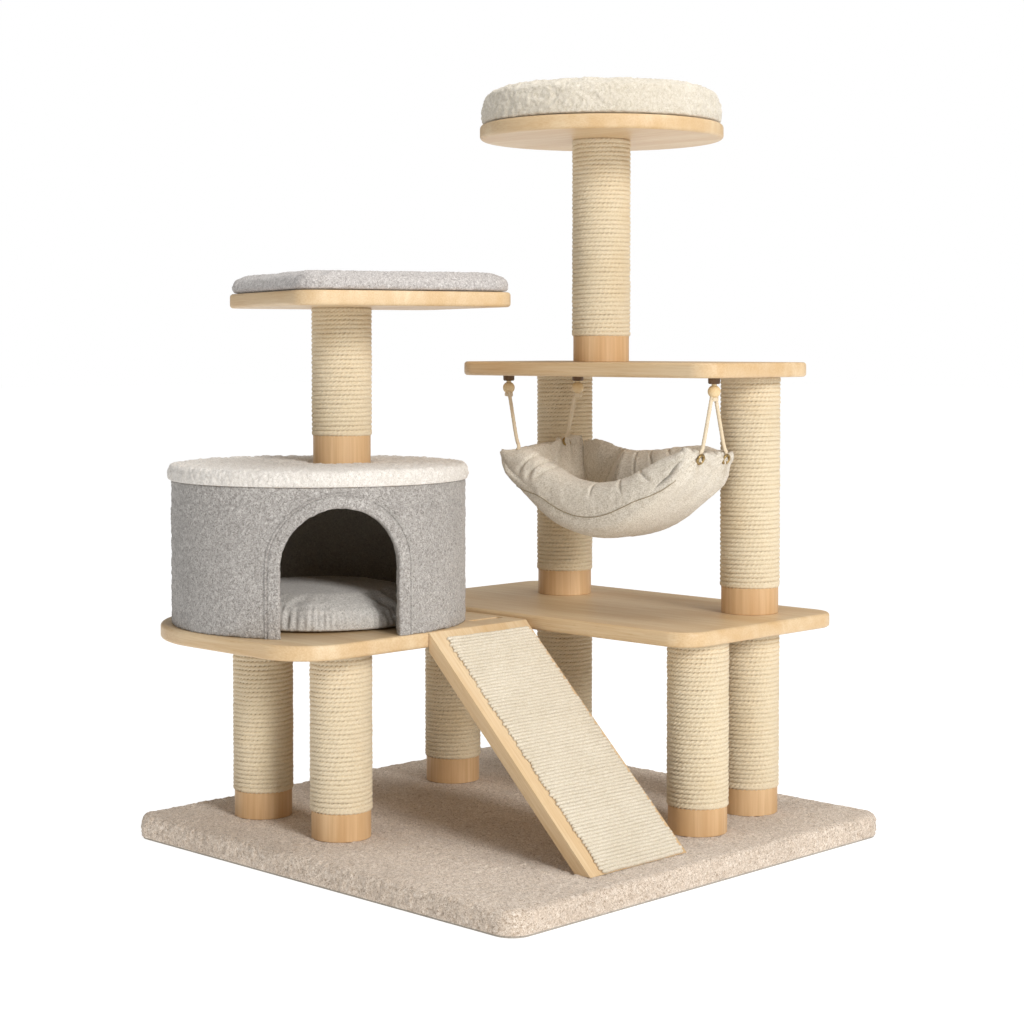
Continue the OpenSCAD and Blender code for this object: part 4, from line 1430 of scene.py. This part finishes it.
def lip(name, node, top_drop, top_rise, left, folds, seed):
    """Stuffed lip along a long edge of the sling: a crescent, puffed out between its folds.
    left says how its left half ends: share of width lost, from which angle, the angle of its
    tip, and its overhang past the sling. Each fold is an angle, a lean and a reach."""
    c, r = sling_axis()
    low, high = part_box(node)
    y_mid, half = (low.y + high.y) / 2, (high.y - low.y) / 2
    rows, around = 150, 56
    right = (0.45, 30, 69)
    angle = np.radians(np.linspace(-left[2], right[2], rows))
    foot = r - 0.0105 + left[3] * smooth((-angle - 0.60) / 0.35)
    foot += 0.6 * left[3] * smooth((angle - 0.35) / 0.40)
    rise = top_rise * np.where(angle < 0, 1.25, 1.0)
    top = np.full(rows, 0.15)
    for _ in range(60):
        drop = top_drop - rise * (top * np.sin(angle) / 0.155) ** 2
        top = 0.6 * top + 0.4 * drop / np.cos(angle)
    top = np.minimum(top, foot - 0.018)
    thin = np.where(angle < 0, left[0], right[0])
    start = np.radians(np.where(angle < 0, left[1], right[1]))
    limit = np.radians(np.where(angle < 0, left[2], right[2]))
    narrow = 1 - thin * smooth((abs(angle) - start) / math.radians(30))
    tip = np.maximum(abs(angle) - limit + math.radians(15), 0) / math.radians(15)
    close = np.sqrt(np.maximum(1 - tip ** 2, 0.03))
    a = TAU * np.arange(around) / around
    side = np.sign(y_mid - c.y)
    wide = (half + 0.0005) * narrow * close
    y_line = y_mid + side * half * (1 - narrow * close)
    tall = (foot - top) / 2 * (0.30 + 0.70 * close)
    mid = foot - tall
    y = y_line[:, None] + wide[:, None] * squared(np.cos(a))[None]
    radius = mid[:, None] + (tall[:, None] - 0.003) * squared(np.sin(a))[None]
    verts = on_sling(r * angle[:, None], y, r - radius)
    faces = grid(rows, around, wrap_v=True)
    faces += [np.arange(around), (rows - 1) * around + np.arange(around)[::-1]]
    body = make(name, verts, faces, MAT["linen"], body="hammock", nodes=[node],
                slot="hammock_linen")
    weld(body, 1e-6)

    def polar(p):
        """A point's angle along the lip, and its depth from the top, 0, to the foot, 1."""
        radial = np.hypot(p[:, 0] - c.x, p[:, 2] - c.z)
        at = np.arctan2(p[:, 0] - c.x, c.z - p[:, 2])
        rim = np.interp(at, angle, top)
        return at, (radial - rim) / (np.interp(at, angle, foot) - rim)

    def pleat(p, wide_m):
        """1 on a fold's line, which starts at the lip's top and fades down its face."""
        at, depth = polar(p)
        lines = 0
        for degrees, lean, reach in folds:
            centre = math.radians(degrees) + lean * depth
            gap = (at - centre) * r * 0.8
            lines = lines + np.exp(-(gap / wide_m) ** 2) * (1 - smooth((depth - reach) / 0.25))
        return np.clip(lines, 0, 1)

    def held(p):
        """The foot and the folds' lines, which are sewn down."""
        return (polar(p)[1] > 0.93) | (pleat(p, 0.0035) > 0.6)

    puff(body, 4.5, 0.012, 0.0040, held)
    refine(body)

    def creases(p):
        """The folds' lines, patches of small slanting creases and soft dents."""
        slant = np.column_stack([p[:, 0] / 0.011, p[:, 1] / 0.05, p[:, 2] / 0.04])
        small = noise3(slant, seed) * smooth(0.6 + noise3(p / 0.06, seed + 3))
        return (-0.0042 * pleat(p, 0.0030) + 0.0012 * small
                + 0.0016 * fractal(p, 0.045, 3, seed + 5) + 0.0005 * fractal(p, 0.010, 2, seed + 8))

    displace(body, creases)
    set_coords(body, pull(coords(body)))


def hammock_seam():
    """Thread line where the front lip is sewn to the outer cloth, laid on whichever is outside."""
    c, r = sling_axis()
    along = np.linspace(-r * 0.82, r * 0.97, 300)
    half = size("hammock_sling").y / 2
    drop = 0.011 * smooth((-along / r - 0.45) / 0.35) + 0.0065 * smooth((along / r - 0.35) / 0.40)
    path = pull(on_sling(along, c.y - half, sling_edge(along) + 0.0020 - drop))
    trees = []
    for name in ("hammock_front_lip", "hammock_sling_cloth"):
        mesh = bpy.data.objects[name].data
        trees.append(BVHTree.FromPolygons([v.co for v in mesh.vertices],
                                          [p.vertices for p in mesh.polygons]))
    for point in path:
        start = Vector((point[0], point[1] - 0.06, point[2]))
        hits = [tree.ray_cast(start, Vector((0, 1, 0)))[0] for tree in trees]
        found = [hit.y for hit in hits if hit is not None]
        if found:
            point[1] = min(found) - 0.0002
    soft = np.convolve(np.pad(path[:, 1], 22, "edge"), np.ones(45) / 45, "valid")
    path[:, 1] = np.minimum(soft, path[:, 1])
    verts, faces = tube(path, 0.0008, 6)
    make("hammock_front_seam", verts, faces, MAT["linen_seam"], body="hammock")


# Each cord's lean as it rises: the signs of its steps along X and Y.
CORDS = {
    "hammock_cord_front_left": (-1, 1), "hammock_cord_back_left": (1, 1),
    "hammock_cord_front_right": (1, 1), "hammock_cord_back_right": (1, -1),
}


def cord_ends(node):
    """Upper and lower end of a CAD cord."""
    low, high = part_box(node)
    lean = CORDS[node]
    r = 0.003
    ends = []
    for up in (1, -1):
        x = high.x - r if lean[0] * up > 0 else low.x + r
        y = high.y - r if lean[1] * up > 0 else low.y + r
        ends.append(Vector((x, y, high.z if up > 0 else low.z)))
    return ends


def hammock_cords():
    """Twisted cotton cords from the knobs to the eyelets, each knotted at its eyelet."""
    c, r = sling_axis()
    rings = []
    knots = []
    for node in CORDS:
        upper, lower = cord_ends(node)
        way = 1 if lower.x > c.x else -1
        reach = r * ROUND_ARC + LIFT - 0.0165
        hole = Vector(pull(on_sling(np.float64(way * reach), lower.y, 0.004)))
        out = Vector((way * 0.93, 0, -0.36)).normalized()
        seen = out * way
        front, behind = hole + seen * 0.0052, hole - seen * 0.0052
        line = bezier([upper + Vector((0, 0, 0.001)), upper.lerp(front, 0.35),
                       upper.lerp(front, 0.78), front + Vector((0, 0, 0.010)),
                       behind - Vector((0, 0, 0.002))], 16)
        for _ in range(30):
            line[1:-1] = 0.5 * line[1:-1] + 0.25 * (line[:-2] + line[2:])
        verts, faces = tube(line, 0.0028, 14, twist=70, depth=0.12)
        cord = make(node + "_twist", verts, faces, MAT["cord"], body=None)
        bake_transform(cord, "root", "hammock", start=tuple(line[0]), end=tuple(line[-1]))
        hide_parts(node)
        across = out.cross(Vector((0, 1, 0))).normalized()
        a = np.linspace(0, TAU, 40, endpoint=False)[:, None]
        for spot in (front, behind):
            ring = (np.array(spot) + 0.0066 * np.cos(a) * np.array(across)
                    + 0.0066 * np.sin(a) * np.array((0, 1, 0)))
            rings.append(tube(ring, 0.0020, 12, closed=True))
        turn = np.linspace(0, TAU * 2, 90)
        knot = np.column_stack([behind.x + 0.0040 * np.cos(turn),
                                behind.y + 0.0040 * np.sin(turn),
                                behind.z + 0.0016 * np.cos(turn / 2)])
        knots.append(tube(knot, 0.0024, 8, twist=70, depth=0.1))
    verts, faces = join(rings)
    make("hammock_eyelets", verts, faces, MAT["brass"], body="hammock",
         nodes=["hammock_grommets"], slot="eyelet_brass")
    verts, faces = join(knots)
    make("hammock_end_knots", verts, faces, MAT["cord"], body="hammock")


def knob_spots():
    """Middles of the three knobs, from the cords' upper ends. The right cords share one."""
    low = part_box("hammock_knobs")[0]
    spots = []
    for node in list(CORDS)[:3]:
        upper, lower = cord_ends(node)
        step = (upper - lower).normalized() * 0.0115
        spots.append(Vector((upper.x + step.x, upper.y + step.y, low.z + 0.0095)))
    return spots


def ball(centre, r):
    """Points and faces of a ball."""
    a = np.linspace(-math.pi / 2, math.pi / 2, 40)
    return lathe([(max(r * math.cos(v), 1e-5), r * math.sin(v)) for v in a], 48, centre)


def hangers():
    """Dark blocks under the shelf, and pale turned knobs with a wrap of cord below each."""
    low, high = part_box("hammock_brackets")
    knobs, blocks, wraps = [], [], []
    for spot in knob_spots():
        knobs.append(ball(spot, 0.0095))
        profile = [(0.001, low.z), (0.0075, low.z), (0.0088, low.z + 0.0015),
                   (0.0090, high.z), (0.001, high.z)]
        blocks.append(lathe(profile, 48, (spot.x, spot.y, 0)))
        neck = [(0.0008, spot.z), (0.0038, spot.z), (0.0038, low.z + 0.001),
                (0.0008, low.z + 0.001)]
        knobs.append(lathe(neck, 24, (spot.x, spot.y, 0)))
        turn = np.linspace(0, TAU * 2.2, 120)
        radius = 0.0046
        wrap = np.column_stack([spot.x + radius * np.cos(turn), spot.y + radius * np.sin(turn),
                                spot.z - 0.0085 - 0.0003 * turn])
        wraps.append(tube(wrap, 0.0021, 8, twist=70, depth=0.12))
    for name, parts, key, node, slot in (
            ("hammock_turned_knobs", knobs, "knob", "hammock_knobs", "knob_wood"),
            ("hammock_dark_blocks", blocks, "bracket", "hammock_brackets", "bracket_wood"),
            ("hammock_knob_wraps", wraps, "cord", None, "cotton_cord")):
        verts, faces = join(parts)
        make(name, verts, faces, MAT[key], nodes=[node] if node else (), slot=slot, sharp=50)


def hammock():
    """The whole hammock, from the cloth up to the shelf."""
    sling()
    lip("hammock_front_lip", "hammock_front_roll", 0.1195, 0.050, (0.15, 30, 70, 0.0125),
        [(-54, 0.10, 0.45), (-46, 0.05, 0.35), (-38, -0.08, 0.25), (4, 0.0, 0.12),
         (27, 0.06, 0.20), (44, 0.10, 0.35)], 160)
    lip("hammock_back_lip", "hammock_back_roll", 0.074, 0.014, (0.80, 8, 66, 0.0),
        [(-30, 0.0, 0.8), (-14, 0.06, 0.9), (6, 0.10, 0.9), (25, 0.10, 0.9), (42, 0.0, 0.8)],
        180)
    hammock_seam()
    hammock_cords()
    hangers()


# ---------- everything ----------

base()
shelves()
den_platform()
perch_boards()
posts()
den_walls()
door_trim()
den_lid()
den_cushion()
left_pad()
round_cushion()
ramp()
ramp_mat()
hammock()
hardware()
camera()
studio()
